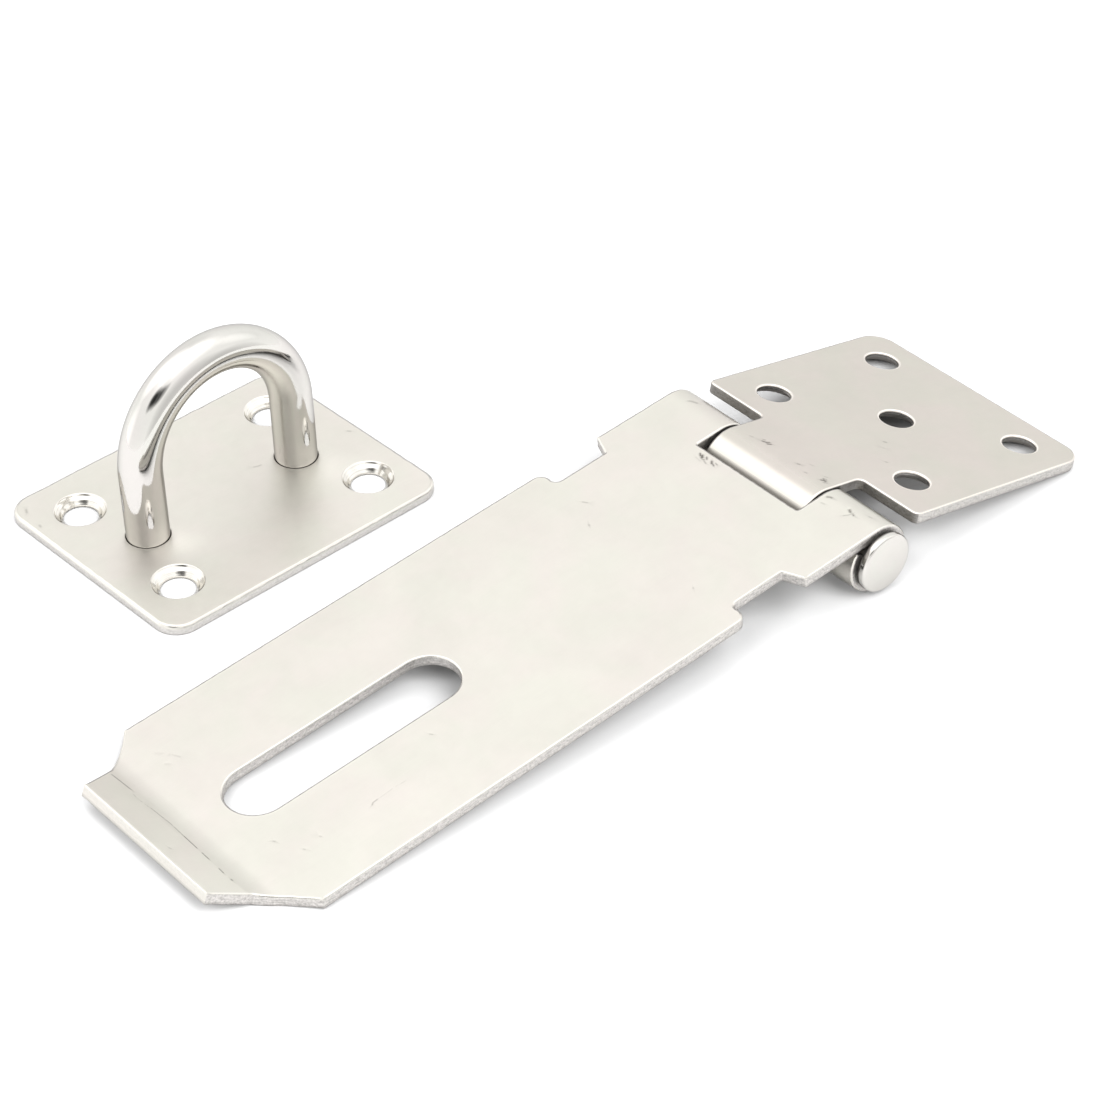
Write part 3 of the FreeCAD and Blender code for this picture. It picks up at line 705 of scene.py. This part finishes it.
LEAF_MARKS = [
    ([(0.95, 4.1), (1.25, 3.5)], 0.17, 0.05, 0.74, 0.30, 31),
    ([(1.20, 3.55), (1.60, 3.30)], 0.15, 0.05, 0.78, 0.20, 52),
    ([(1.05, 3.15), (1.45, 2.85)], 0.15, 0.05, 0.78, 0.15, 53),
    ([(1.35, 4.3), (1.5, 4.1)], 0.13, 0.02, 0.45, 0.0, 45),
    ([(0.35, 5.9), (0.55, 5.4)], 0.12, 0.02, 0.26, 0.0, 32),
    ([(0.95, -2.7), (1.10, -3.0)], 0.17, 0.03, 0.46, 0.0, 33),
    ([(0.20, -4.8), (0.30, -5.1)], 0.13, 0.03, 0.34, 0.0, 34),
    ([(2.45, -3.6), (2.60, -4.1)], 0.13, 0.02, 0.18, 0.0, 35),
    ([(0.80, -7.35), (1.20, -7.85)], 0.18, 0.05, 0.74, 0.25, 36),
    ([(1.35, -7.25), (0.95, -7.95)], 0.14, 0.04, 0.60, 0.25, 54),
    ([(0.55, -8.05), (1.00, -8.35)], 0.12, 0.03, 0.40, 0.25, 55),
    ([(1.5, -7.5), (1.55, -7.6)], 0.12, 0.02, 0.40, 0.0, 46),
    ([(1.90, -6.9), (2.1, -7.3)], 0.13, 0.02, 0.22, 0.0, 37),
    ([(16.8, -3.85), (16.98, -4.15)], 0.14, 0.02, 0.40, 0.0, 38),
    ([(12.8, -7.95), (12.9, -8.15)], 0.12, 0.02, 0.34, 0.0, 39),
    ([(15.4, -5.0), (15.5, -5.2)], 0.12, 0.02, 0.20, 0.0, 40)]
PLATE_MARKS = [
    ([(21.4, -0.6), (21.7, -0.95)], 0.15, 0.02, 0.30, 0.0, 41),
    ([(6.6, 1.9), (7.2, 1.65), (7.6, 1.6)], 0.15, 0.03, 0.24, 0.15, 42),
    ([(-21.9, 15.6), (-22.2, 15.0)], 0.18, 0.03, 0.34, 0.0, 43),
    ([(-22.6, 11.6), (-22.7, 11.2)], 0.16, 0.03, 0.30, 0.0, 44)]


# ------------------------------------------------------------ the five pieces
def span(a, b, step):
    n = max(1, int(round((b - a) / step)))
    return np.linspace(a, b, n + 1)


def strap_shade(P, out, li):
    """Painted shade on the cut walls round the cut-out, on the curl beside it and on the curled ends."""
    if li:
        return np.zeros(len(P))
    m = np.zeros(len(P))
    m = np.where((P[:, 0] > -5.4) & (np.abs(P[:, 1]) < 11.0), 0.22 + 0.34 * np.clip((P[:, 0] + 2.2) / 1.4, 0, 1), m)
    m = np.where(P[:, 0] > 3.0, np.where(np.abs(P[:, 1]) < 11.0, 0.80, m), m)
    m = np.where(P[:, 0] > CURL_LEN - 3.0, np.maximum(m, 0.30), m)
    return m


def leaf_shade(P, out, li):
    if li:
        return np.zeros(len(P))
    # painted shade on the cut walls that face the hinge, on the neck's walls and round the curl
    m = np.where((out[:, 0] < -0.5) & (P[:, 0] > 3.0), 0.52, 0.0)
    m = np.where((P[:, 0] <= 7.5) & (P[:, 0] > 2.5) & (np.abs(P[:, 1]) < 11.5), 0.45, m)
    m = np.where(P[:, 0] <= 2.5, 0.78, m)
    return m


def strap_painted_light(x, v, t):
    """Painted light on the lip's top face, lighter towards one end, and a painted shade band just before the crease."""
    top = t < 0.02
    lip = np.clip((-98.2 - x) / 0.3, 0, 1) * (0.045 - 0.030 * np.clip(v / 12.0, -1, 1))
    side = 0.35 + 0.65 * np.clip((v + 4.0) / 14.0, 0, 1)
    band = -0.050 * np.exp(-((x + 97.6) / 1.7) ** 2) * (x > -98.3) * (0.8 + 0.2 * side)
    return np.where(top, lip + band, 0.0)


def plate_painted_light(x, v, t):
    """Round the legs the plate is lightened, which offsets the bar's dark mirror image there."""
    g = np.zeros(len(x))
    for sx in (-1, 1):
        dx, dv = x - (LOOP_X + sx * LEG_DX), v
        d = np.hypot(dx - 1.3 + 0.7 * sx, dv + 4.6)
        g = g + 0.11 * np.exp(-(d / 3.2) ** 2)
        cx, cv, r = (-3.2, -6.0, 4.6) if sx > 0 else (0.7, -4.0, 2.8)
        g = g + (0.11 if sx > 0 else 0.17) * np.exp(-(np.hypot(dx - cx, dv - cv) / r) ** 2)
        # a painted highlight: a bright smear beside the left leg
        if sx < 0:
            g = g + 0.08 * np.exp(-((dx + 1.2) / 1.2) ** 2 - ((dv + 5.0) / 2.2) ** 2)
    # painted light: the top face lightens towards the -v side
    g = g + 0.035 * np.clip((-v - 2.0) / 12.0, 0, 1)
    return np.where(t < 0.02, np.minimum(g, 0.30), 0.0)


def leaf_painted_light(x, v, t):
    # painted light: the top face lightens a little towards the leaf's far edge
    near_hole = np.zeros(len(x))
    return near_hole + 0.02 * np.clip((x - 4.0) / 30.0, 0, 1) * (t < 0.02)


s_bend_end = BEND_U + BEND_R_IN * LIP_A
strap_xs = np.concatenate([
    span(-(s_bend_end + LIP_LEN), -s_bend_end - 0.5, 0.8),
    span(-s_bend_end - 0.25, -BEND_U + 0.25, 0.24),
    span(-BEND_U + 0.9, -0.9, 1.1),
    span(-0.25, CURL_LEN, 0.27)])
strap_vs = span(-20.0, 20.0, 0.95)
strap = build_sheet(
    "strap_sheet",
    [(strap_outline(), sheared(SHEET)), (slot_outline(), sheared(SHEET, 0.26, 0.24))],
    SHEET, strap_place, STRAP_M, strap_xs, strap_vs, marks=Marks(STRAP_MARKS), seed=1.3, barrel_at=1.0,
    shade=strap_shade, far_rim_shade=0.45, far_shaded_loops=2, painted_light=strap_painted_light)

leaf_xs = np.concatenate([span(-CURL_LEN, 0.25, 0.27), span(0.9, LEAF_FAR_U, 1.05)])
leaf_vs = span(-20.0, 20.0, 0.95)
leaf_loops = [(leaf_outline(), sheared(SHEET))]
for du, dv in ((0, 0), (-1, 1), (-1, -1), (1, 1), (1, -1)):
    leaf_loops.append((circle(LEAF_HOLE_U + du * LEAF_HOLE_DU, dv * LEAF_HOLE_DV, SCREW_HOLE_R, 72),
                       countersunk_below(SHEET, LEAF_CSK_DEPTH)))
leaf = build_sheet("leaf_sheet", leaf_loops, SHEET, leaf_place, LEAF_M, leaf_xs, leaf_vs,
                   marks=Marks(LEAF_MARKS), seed=2.7, barrel_at=-1.0, shade=leaf_shade, painted_light=leaf_painted_light)

plate_loops = [(plate_outline(), rounded(PLATE_T, 0.50))]
for sx in (-1, 1):
    for sy in (-1, 1):
        plate_loops.append((circle(sx * STAPLE_HOLE_DX, sy * STAPLE_HOLE_DY, SCREW_HOLE_R, 96),
                            countersunk_above(PLATE_T, CSK_DEPTH)))
    plate_loops.append((circle(LOOP_X + sx * LEG_DX, 0.0, BAR_R + 0.01, 96), leg_hole(PLATE_T)))
plate = build_sheet("staple_base", plate_loops, PLATE_T, plate_place, STAPLE_M,
                    span(-24.0, 24.0, 1.0), span(-19.0, 19.0, 1.0), marks=Marks(PLATE_MARKS),
                    seed=3.9, rough_wall=0.012, painted_light=plate_painted_light)


def make_pin():
    """Turned pin: polished low-domed head at -Y, a shank darkened with painted shade, hammered far end."""
    yf, yh = -(HINGE_HALF_W + HEAD_OUT), -(HINGE_HALF_W + HEAD_GAP)
    yt, ye = HINGE_HALF_W + TAIL_GAP, HINGE_HALF_W + TAIL_OUT
    rim, dome = 0.40, 0.13
    prof = []
    flat_r = HEAD_R - rim
    for k in range(1, 17):
        r = flat_r * k / 16
        prof.append((r, yf + dome * (r / flat_r) ** 2))
    for k in range(1, 9):
        a = math.radians(90 * k / 8)
        prof.append((flat_r + rim * math.sin(a), yf + dome + rim * (1 - math.cos(a))))
    prof += [(HEAD_R, yh - 0.45), (HEAD_R, yh - 0.2), (HEAD_R - 0.03, yh - 0.08), (HEAD_R - 0.10, yh), (HEAD_R - 0.3, yh),
             (PIN_R + 0.1, yh), (PIN_R + 0.02, yh + 0.03), (PIN_R, yh + 0.1)]
    for y in np.linspace(yh + 0.4, yt - 0.4, 60):
        prof.append((PIN_R, float(y)))
    prof += [(PIN_R, yt - 0.1), (PIN_R + 0.02, yt - 0.02), (PIN_R + 0.15, yt), (TAIL_R - 0.18, yt), (TAIL_R - 0.06, yt + 0.05),
             (TAIL_R, yt + 0.13), (TAIL_R - 0.05, yt + 0.20)]
    for k in range(1, 15):
        r = (TAIL_R - 0.12) * (1 - k / 15.0)
        prof.append((r, ye - 0.22 * (r / TAIL_R) ** 2))
    n = 160
    co, sv, wall, shank_shade = [], [], [], []
    co.append((0, yf, 0))
    sv.append((0, 0, 0))
    wall.append(0)
    shank_shade.append(0.0)
    length = 0.0
    last = (0, yf)
    for r, y in prof:
        length += math.hypot(r - last[0], y - last[1])
        last = (r, y)
        for i in range(n):
            a = 2 * math.pi * i / n
            yy = y
            if y > yt + 0.15:
                px, pz = r * math.cos(a), r * math.sin(a)
                yy = y - 0.07 * abs(noise.noise(Vector((px * 0.9, pz * 0.9, 5.0)))) - 0.03 * abs(noise.noise(Vector((px * 2.4, pz * 2.4, 9.0))))
            co.append((r * math.cos(a), yy, r * math.sin(a)))
            sv.append((length, r * a, r))
            wall.append(1.0 if (y > yt + 0.15) else 0.0)
            shank_shade.append(0.72 if (yh - 0.3 < y < yt + 0.1) else 0.0)
    co.append((0, ye - 0.03, 0))
    sv.append((length, 0, 0))
    wall.append(1.0)
    shank_shade.append(0.0)
    F = []
    m = len(prof)
    for i in range(n):
        j = (i + 1) % n
        F.append((0, 1 + i, 1 + j))
        for k in range(m - 1):
            F.append((1 + k * n + i, 1 + (k + 1) * n + i, 1 + (k + 1) * n + j, 1 + k * n + j))
        F.append((len(co) - 1, 1 + (m - 1) * n + j, 1 + (m - 1) * n + i))
    z = np.zeros(len(co))
    return make_object("pin_turned", np.array(co), F, PIN_M, {
        "sv": np.array(sv, float), "rim": np.array(sv, float), "wall": np.array(wall, float), "cone": z,
        "marks_and_shade": np.array(shank_shade, float), "polish": z})


def make_loop():
    """Round bar bent to a half ring on two straight legs."""
    path = []
    z0 = 0.0
    for z in (0.0, 0.06, 0.14, 0.3, 0.6, 0.9, 1.2, 1.5, 1.9, 2.4):
        path.append((LEG_DX, z, 0.0))
    for z in np.linspace(3.0, LOOP_CENTRE_Z - 0.5, 12):
        path.append((LEG_DX, float(z), 0.0))
    for k in range(0, 97):
        a = math.pi * k / 96
        path.append((LEG_DX * math.cos(a), LOOP_CENTRE_Z + LEG_DX * math.sin(a), a))
    for x, z, _ in path[:22][::-1]:
        path.append((-LEG_DX, z, math.pi))
    n = 112
    co, sv, wall = [], [], []
    length, last = 0.0, path[0]
    for x, z, a in path:
        length += math.hypot(x - last[0], z - last[1])
        last = (x, z, a)
        r = BAR_R
        if z < 0.05:
            r = BAR_R - 0.12
        elif z < 0.1:
            r = BAR_R - 0.05
        elif z < 0.2:
            r = BAR_R - 0.01
        # the bar draws in a touch on the outside of the bend
        bend = math.sin(a) ** 2 if 0 < a < math.pi else 0.0
        for i in range(n):
            p = 2 * math.pi * i / n
            radial, side = math.cos(p), math.sin(p)
            rr = r - 0.05 * bend * max(0.0, radial) ** 2 - 0.03 * bend * max(0.0, -radial) ** 2
            s = 0.010 * noise.noise(Vector((length / 5.0, radial * 1.3, side * 1.3)))
            rr -= abs(s)
            co.append((x + rr * radial * math.cos(a), rr * side, z + rr * radial * math.sin(a)))
            sv.append((length, BAR_R * p, 0))
            wall.append(0.0)
    F = []
    m = len(path)
    for k in range(m - 1):
        for i in range(n):
            j = (i + 1) % n
            F.append((k * n + i, k * n + j, (k + 1) * n + j, (k + 1) * n + i))
    for end, ring in ((0, 0), (1, m - 1)):
        x = LEG_DX if end == 0 else -LEG_DX
        c = len(co)
        co.append((x, 0.0, 0.0))
        sv.append((0, 0, 0))
        wall.append(1.0)
        for i in range(n):
            j = (i + 1) % n
            F.append((c, ring * n + j, ring * n + i) if end == 0 else (c, ring * n + i, ring * n + j))
    z = np.zeros(len(co))
    co = np.array(co)
    # above the plate the whole loop leans back; inside it the legs fill their holes
    up = np.maximum(co[:, 2] - PLATE_T, 0.0)
    ease = np.clip(up / 0.4, 0, 1)
    y0 = co[:, 1].copy()
    co[:, 1] = y0 * (1 - ease + ease * math.cos(LOOP_LEAN)) + up * math.sin(LOOP_LEAN)
    co[:, 2] -= up * (1 - math.cos(LOOP_LEAN)) + ease * y0 * math.sin(LOOP_LEAN)
    co[:, 0] += LOOP_X
    # x, y, z with the ring standing in the XZ plane
    ob = make_object("staple_bar", co, F, STAPLE_M, {
        "sv": np.array(sv, float), "rim": np.array(sv, float), "wall": np.array(wall, float), "cone": z, "marks_and_shade": z,
        "polish": z})
    return ob


pin = make_pin()
loop = make_loop()


# ------------------------------------------------------------ materials
def N(nt, kind, ins=None, **props):
    nd = nt.nodes.new(kind)
    for k, v in props.items():
        setattr(nd, k, v)
    for k, v in (ins or {}).items():
        s = nd.inputs[k]
        if isinstance(v, bpy.types.NodeSocket):
            nt.links.new(v, s)
        else:
            s.default_value = v
    return nd


def math_n(nt, op, a, b=0.0, c=None, clamp=False):
    ins = {0: a, 1: b}
    if c is not None:
        ins[2] = c
    return N(nt, "ShaderNodeMath", ins, operation=op, use_clamp=clamp).outputs[0]


def scaled(nt, vec, xyz):
    return N(nt, "ShaderNodeVectorMath", {0: vec, 1: xyz}, operation="MULTIPLY").outputs[0]


def noise_n(nt, vec, scale, detail=2.0, rough=0.5, distort=0.0):
    return N(nt, "ShaderNodeTexNoise", {"Vector": vec, "Scale": scale, "Detail": detail, "Roughness": rough,
                                        "Distortion": distort}).outputs["Fac"]


def remap(nt, val, a, b, c, d, clamp=True):
    return N(nt, "ShaderNodeMapRange", {"Value": val, "From Min": a, "From Max": b, "To Min": c, "To Max": d},
             clamp=clamp).outputs["Result"]


def mix_col(nt, fac, a, b):
    nd = nt.nodes.new("ShaderNodeMix")
    nd.data_type = "RGBA"
    for i, v in ((0, fac), (6, a), (7, b)):
        if isinstance(v, bpy.types.NodeSocket):
            nt.links.new(v, nd.inputs[i])
        elif i == 0:
            nd.inputs[i].default_value = v
        else:
            nd.inputs[i].default_value = tuple(v) + (1.0,)
    return nd.outputs[2]


def mix_val(nt, fac, a, b):
    nd = nt.nodes.new("ShaderNodeMix")
    nd.data_type = "FLOAT"
    for i, v in ((0, fac), (2, a), (3, b)):
        if isinstance(v, bpy.types.NodeSocket):
            nt.links.new(v, nd.inputs[i])
        else:
            nd.inputs[i].default_value = v
    return nd.outputs[0]


def steel(name, light, dark, wall_light, wall_dark, rough, spread, grain=0.10, streak=(0.16, 5.5), cone_rough=0.10,
          blotch=0.075, seed=0.0, cone_highlight_gain=1.12, polish_rough=0.17,
          tint=0.6, edge=0.62):
    mat = bpy.data.materials.new(name)
    mat.use_nodes = True
    nt = mat.node_tree
    nt.nodes.clear()
    out = nt.nodes.new("ShaderNodeOutputMaterial")
    bs = nt.nodes.new("ShaderNodeBsdfPrincipled")
    nt.links.new(bs.outputs[0], out.inputs[0])
    bs.inputs["Metallic"].default_value = 1.0
    bs.inputs["Specular Tint"].default_value = (edge, edge, edge, 1.0)
    def att(n):
        return N(nt, "ShaderNodeAttribute", attribute_name=n, attribute_type="GEOMETRY")
    sv, rim = att("sv").outputs["Vector"], att("rim").outputs["Vector"]
    wall, cone, marks_and_shade, polish, light_gain = (att(n).outputs["Fac"] for n in ("wall", "cone", "marks_and_shade", "polish", "light_gain"))
    sv = N(nt, "ShaderNodeVectorMath", {0: sv, 1: (seed * 17.0, seed * 5.0, seed * 3.0)}, operation="ADD").outputs[0]
    big = noise_n(nt, sv, blotch, 3.0, 0.55, 0.6)
    mid = noise_n(nt, sv, blotch * 7.0, 3.0, 0.6, 0.3)
    line = noise_n(nt, scaled(nt, sv, (streak[0], streak[1], 1.0)), 1.0, 2.0, 0.6)
    fine = noise_n(nt, scaled(nt, sv, (streak[0] * 3.0, streak[1] * 2.4, 1.0)), 1.0, 1.0, 0.5)
    dots = noise_n(nt, sv, 6.5, 1.0, 0.5)
    # colour of the open faces
    f = math_n(nt, "ADD", math_n(nt, "MULTIPLY", remap(nt, big, 0.30, 0.70, 0.0, 1.0), 0.50),
               math_n(nt, "ADD", math_n(nt, "MULTIPLY", remap(nt, mid, 0.30, 0.70, 0.0, 1.0), 0.28),
                      math_n(nt, "MULTIPLY", remap(nt, line, 0.28, 0.72, 0.0, 1.0), 0.22)))
    col = mix_col(nt, f, dark, light)
    # a very faint warm and green cast wanders over the rolled sheet
    hue = noise_n(nt, sv, blotch * 1.7, 2.0, 0.5, 0.4)
    cast = mix_col(nt, remap(nt, hue, 0.36, 0.64, 0.0, 1.0), (1.0, 0.975, 0.975), (0.968, 0.985, 0.955))
    mult = nt.nodes.new("ShaderNodeMix")
    mult.data_type = "RGBA"
    mult.blend_type = "MULTIPLY"
    mult.inputs[0].default_value = tint
    nt.links.new(col, mult.inputs[6])
    nt.links.new(cast, mult.inputs[7])
    col = mult.outputs[2]
    # painted light and shade: the base colour is made a little lighter or darker in given places
    col = N(nt, "ShaderNodeVectorMath", {0: col, "Scale": math_n(nt, "ADD", 1.0, light_gain)}, operation="SCALE").outputs[0]
    # the cut wall: dull, streaked across the thickness
    ws = noise_n(nt, scaled(nt, rim, (1.1, 4.6, 1.0)), 1.0, 3.0, 0.65)
    wb = noise_n(nt, scaled(nt, rim, (3.6, 2.8, 1.0)), 1.0, 3.0, 0.6)
    wf = math_n(nt, "ADD", math_n(nt, "MULTIPLY", remap(nt, ws, 0.36, 0.56, 0.0, 1.0), 0.55),
                math_n(nt, "MULTIPLY", remap(nt, wb, 0.36, 0.58, 0.0, 1.0), 0.45))
    wcol = mix_col(nt, wf, wall_dark, wall_light)
    col = mix_col(nt, wall, col, wcol)
    ring = noise_n(nt, scaled(nt, rim, (0.05, 16.0, 1.0)), 1.0, 2.0, 0.6)
    # painted highlight: the countersinks, the rolled rims and the lip's end take a paler colour than the faces, ringed
    # by the cutter
    highlight_col = mix_col(nt, remap(nt, ring, 0.34, 0.62, 0.0, 1.0), tuple(min(0.97, 0.80 * cone_highlight_gain * c) for c in light), tuple(min(0.99, cone_highlight_gain * c) for c in light))
    col = mix_col(nt, cone, col, highlight_col)
    # near-black for the nicks and scratches, and for the painted shade carried with them
    col = mix_col(nt, marks_and_shade, col, (0.045, 0.039, 0.034))
    nt.links.new(col, bs.inputs["Base Color"])
    # roughness
    r = math_n(nt, "ADD", rough - spread, math_n(nt, "MULTIPLY", f, -0.0 + 0.9 * spread))
    r = math_n(nt, "ADD", r, math_n(nt, "MULTIPLY", remap(nt, fine, 0.3, 0.7, 0.0, 1.0), spread * 0.9))
    r = mix_val(nt, polish, r, math_n(nt, "ADD", polish_rough, math_n(nt, "MULTIPLY", line, 0.05)))
    r = mix_val(nt, wall, r, math_n(nt, "ADD", 0.36, math_n(nt, "MULTIPLY", wf, 0.16)))
    r = mix_val(nt, cone, r, math_n(nt, "ADD", cone_rough, math_n(nt, "MULTIPLY", ring, 0.06)))
    r = mix_val(nt, marks_and_shade, r, 0.55)
    nt.links.new(r, bs.inputs["Roughness"])
    # relief: rolled grain on the faces, tearing on the cut wall
    h = math_n(nt, "ADD", math_n(nt, "MULTIPLY", line, 0.6), math_n(nt, "ADD", math_n(nt, "MULTIPLY", fine, 0.45),
                                                                   math_n(nt, "MULTIPLY", dots, 0.35)))
    hw = math_n(nt, "ADD", math_n(nt, "MULTIPLY", ws, 4.0), math_n(nt, "MULTIPLY", wb, 3.0))
    h = mix_val(nt, wall, h, hw)
    h = mix_val(nt, cone, h, math_n(nt, "MULTIPLY", ring, 0.5))
    bump = N(nt, "ShaderNodeBump", {"Strength": grain, "Distance": 0.00003, "Height": h})
    nt.links.new(bump.outputs["Normal"], bs.inputs["Normal"])
    return mat


strap_mat = steel("strap_satin", (0.672, 0.650, 0.603), (0.622, 0.600, 0.556), (0.72, 0.695, 0.67), (0.34, 0.325, 0.31),
                  0.36, 0.05, 0.35, seed=1.0, polish_rough=0.27, cone_highlight_gain=1.15, tint=0.7)
leaf_mat = steel("leaf_satin", (0.622, 0.589, 0.546), (0.572, 0.546, 0.503), (0.64, 0.62, 0.595), (0.34, 0.325, 0.31),
                 0.36, 0.05, 0.35, seed=2.0, cone_highlight_gain=1.45, cone_rough=0.16, polish_rough=0.15, tint=0.8)
plate_mat = steel("plate_satin", (0.672, 0.650, 0.604), (0.612, 0.592, 0.546), (0.68, 0.66, 0.64), (0.46, 0.445, 0.42),
                  0.42, 0.05, 0.30, seed=3.0, cone_rough=0.13, cone_highlight_gain=1.25)
pin_mat = steel("pin_polished", (0.670, 0.655, 0.625), (0.635, 0.620, 0.590), (0.60, 0.585, 0.56), (0.37, 0.355, 0.33),
                0.14, 0.04, 0.08, streak=(0.5, 2.0), seed=4.0)
loop_mat = steel("loop_polished", (0.665, 0.650, 0.625), (0.625, 0.610, 0.585), (0.57, 0.555, 0.53), (0.37, 0.355, 0.33),
                 0.070, 0.03, 0.05, streak=(2.2, 0.25), seed=5.0, edge=0.50)

for ob, mat, node, slot, body in ((strap, strap_mat, "hasp_strap", "strap_steel", "hasp"),
                                  (leaf, leaf_mat, "fixed_leaf", "leaf_steel", "leaf"),
                                  (pin, pin_mat, "hinge_pin", "pin_steel", "pin"),
                                  (plate, plate_mat, "staple_plate", "plate_steel", "staple"),
                                  (loop, loop_mat, "staple_loop", "loop_steel", "staple")):
    ob.data.materials.append(mat)
    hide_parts(node)
    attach(ob, body)
    cad = frame["nodes"][node]
    for s in cad.material_slots:
        s.material = mat

# ------------------------------------------------------------ floor, light, camera
CENTRE = Vector((0.0, 0.0, 0.0))


def floor_object():
    n, half = 40, 2.2
    vs, fs = [], []
    for i in range(n + 1):
        for j in range(n + 1):
            vs.append((-half + 2 * half * i / n, -half + 2 * half * j / n, -0.00002))
    for i in range(n):
        for j in range(n):
            a = i * (n + 1) + j
            fs.append((a, a + n + 1, a + n + 2, a + 1))
    me = bpy.data.meshes.new("floor")
    me.from_pydata(vs, [], fs)
    ob = bpy.data.objects.new("floor", me)
    bpy.context.scene.collection.objects.link(ob)
    mat = bpy.data.materials.new("floor_paper")
    mat.use_nodes = True
    nt = mat.node_tree
    bs = nt.nodes["Principled BSDF"]
    geo = nt.nodes.new("ShaderNodeNewGeometry")
    pap = noise_n(nt, geo.outputs["Position"], 900.0, 2.0, 0.6)
    nt.links.new(mix_col(nt, pap, (0.262, 0.262, 0.264), (0.270, 0.270, 0.270)), bs.inputs["Base Color"])
    bs.inputs["Roughness"].default_value = 0.9
    bs.inputs["Specular IOR Level"].default_value = 0.0
    me.materials.append(mat)
    return ob


floor_object()


world = bpy.data.worlds.new("studio")
bpy.context.scene.world = world
world.use_nodes = True
wt = world.node_tree
wt.nodes.clear()
wo = wt.nodes.new("ShaderNodeOutputWorld")
bg = wt.nodes.new("ShaderNodeBackground")
wt.links.new(bg.outputs[0], wo.inputs[0])
tc = wt.nodes.new("ShaderNodeTexCoord")
direction = tc.outputs["Generated"]
sep = N(wt, "ShaderNodeSeparateXYZ", {0: direction})
ramp = wt.nodes.new("ShaderNodeValToRGB")
wt.links.new(sep.outputs["Z"], ramp.inputs["Fac"])
stops = [(0.00, 1.08), (0.13, 1.04), (0.36, 1.00), (0.62, 1.02), (0.74, 1.05), (0.84, 1.22), (0.91, 1.55), (1.0, 1.85)]
PEAK = 2.0
STUDIO = 1.30
els = ramp.color_ramp.elements
els[0].position, els[0].color = stops[0][0], (stops[0][1] / PEAK,) * 3 + (1,)
els[1].position, els[1].color = stops[-1][0], (stops[-1][1] / PEAK,) * 3 + (1,)
for p, v in stops[1:-1]:
    e = els.new(p)
    e.color = (v / PEAK,) * 3 + (1,)
cam_loc = Vector((-237.622, -266.431, 279.889))
cam_tgt = Vector((-0.441, -14.884, 5.867))
back = (cam_loc - cam_tgt).normalized()
cam_az = math.atan2(back.y, back.x)


def sky(az, el):
    """A direction of the room, turned az degrees from the camera's side."""
    a, e = cam_az + math.radians(az), math.radians(el)
    return (math.cos(a) * math.cos(e), math.sin(a) * math.cos(e), math.sin(e))


def patch(az, el, r_in, r_out, level):
    """Round patch of the studio wall at another brightness."""
    d = N(wt, "ShaderNodeVectorMath", {0: direction, 1: sky(az, el)}, operation="DOT_PRODUCT").outputs["Value"]
    return remap(wt, d, math.cos(math.radians(r_out)), math.cos(math.radians(r_in)), 1.0, level)


k = PEAK * STUDIO
# the opening the set was shot through, and the dimmer and brighter walls beside it
for args in ((-27, 45, 5, 14, 0.05), (-10, 44, 5, 13, 0.16), (4, 43, 5, 12, 0.40), (-10, 60, 4, 11, 0.85), (-118, 45, 10, 28, 1.45),
             (-155, 42, 6, 22, 0.90), (45, 2, 14, 42, 0.66), (80, 0, 6, 24, 0.76), (132, 28, 3, 16, 0.96),
             (-84, 8, 8, 24, 1.25), (116, 38, 6, 20, 1.18)):
    k = math_n(wt, "MULTIPLY", k, patch(*args))
val = N(wt, "ShaderNodeVectorMath", {0: ramp.outputs["Color"], "Scale": k}, operation="SCALE").outputs[0]
wt.links.new(val, bg.inputs["Color"])
bg.inputs["Strength"].default_value = 1.0


def fill_sun(name, az, el, soft, share):
    """Fill that lifts the paper's shadows and isn't itself mirrored in the metal."""
    li = bpy.data.lights.new(name, "SUN")
    li.energy = share * math.pi / math.sin(math.radians(el))
    li.angle = math.radians(soft)
    ob = bpy.data.objects.new(name, li)
    bpy.context.scene.collection.objects.link(ob)
    ob.rotation_mode = "QUATERNION"
    ob.rotation_quaternion = Vector(sky(az, el)).to_track_quat("Z", "Y")
    ob.visible_glossy = False
    return ob


fill_sun("fill_right", 43, 49, 40, 1.75)
fill_sun("fill_left", -47, 46, 40, 1.00)
fill_sun("fill_front", 0, 16, 18, 0.50)
fill_sun("fill_back", 175, 60, 60, 0.80)

cam = bpy.data.cameras.new("camera")
cam.sensor_width = 36.0
cam.lens = 110.152
cam.clip_start, cam.clip_end = 0.01, 20.0
cam_ob = bpy.data.objects.new("camera", cam)
bpy.context.scene.collection.objects.link(cam_ob)
cam_ob.location = cam_loc * 0.001
cam_ob.rotation_mode = "QUATERNION"
cam_ob.rotation_quaternion = (-back).to_track_quat("-Z", "Y")
bpy.context.scene.camera = cam_ob

vs = bpy.context.scene.view_settings
vs.view_transform = "Standard"
vs.look = "None"
vs.exposure = 0.0
vs.gamma = 1.0

bpy.context.view_layer.update()
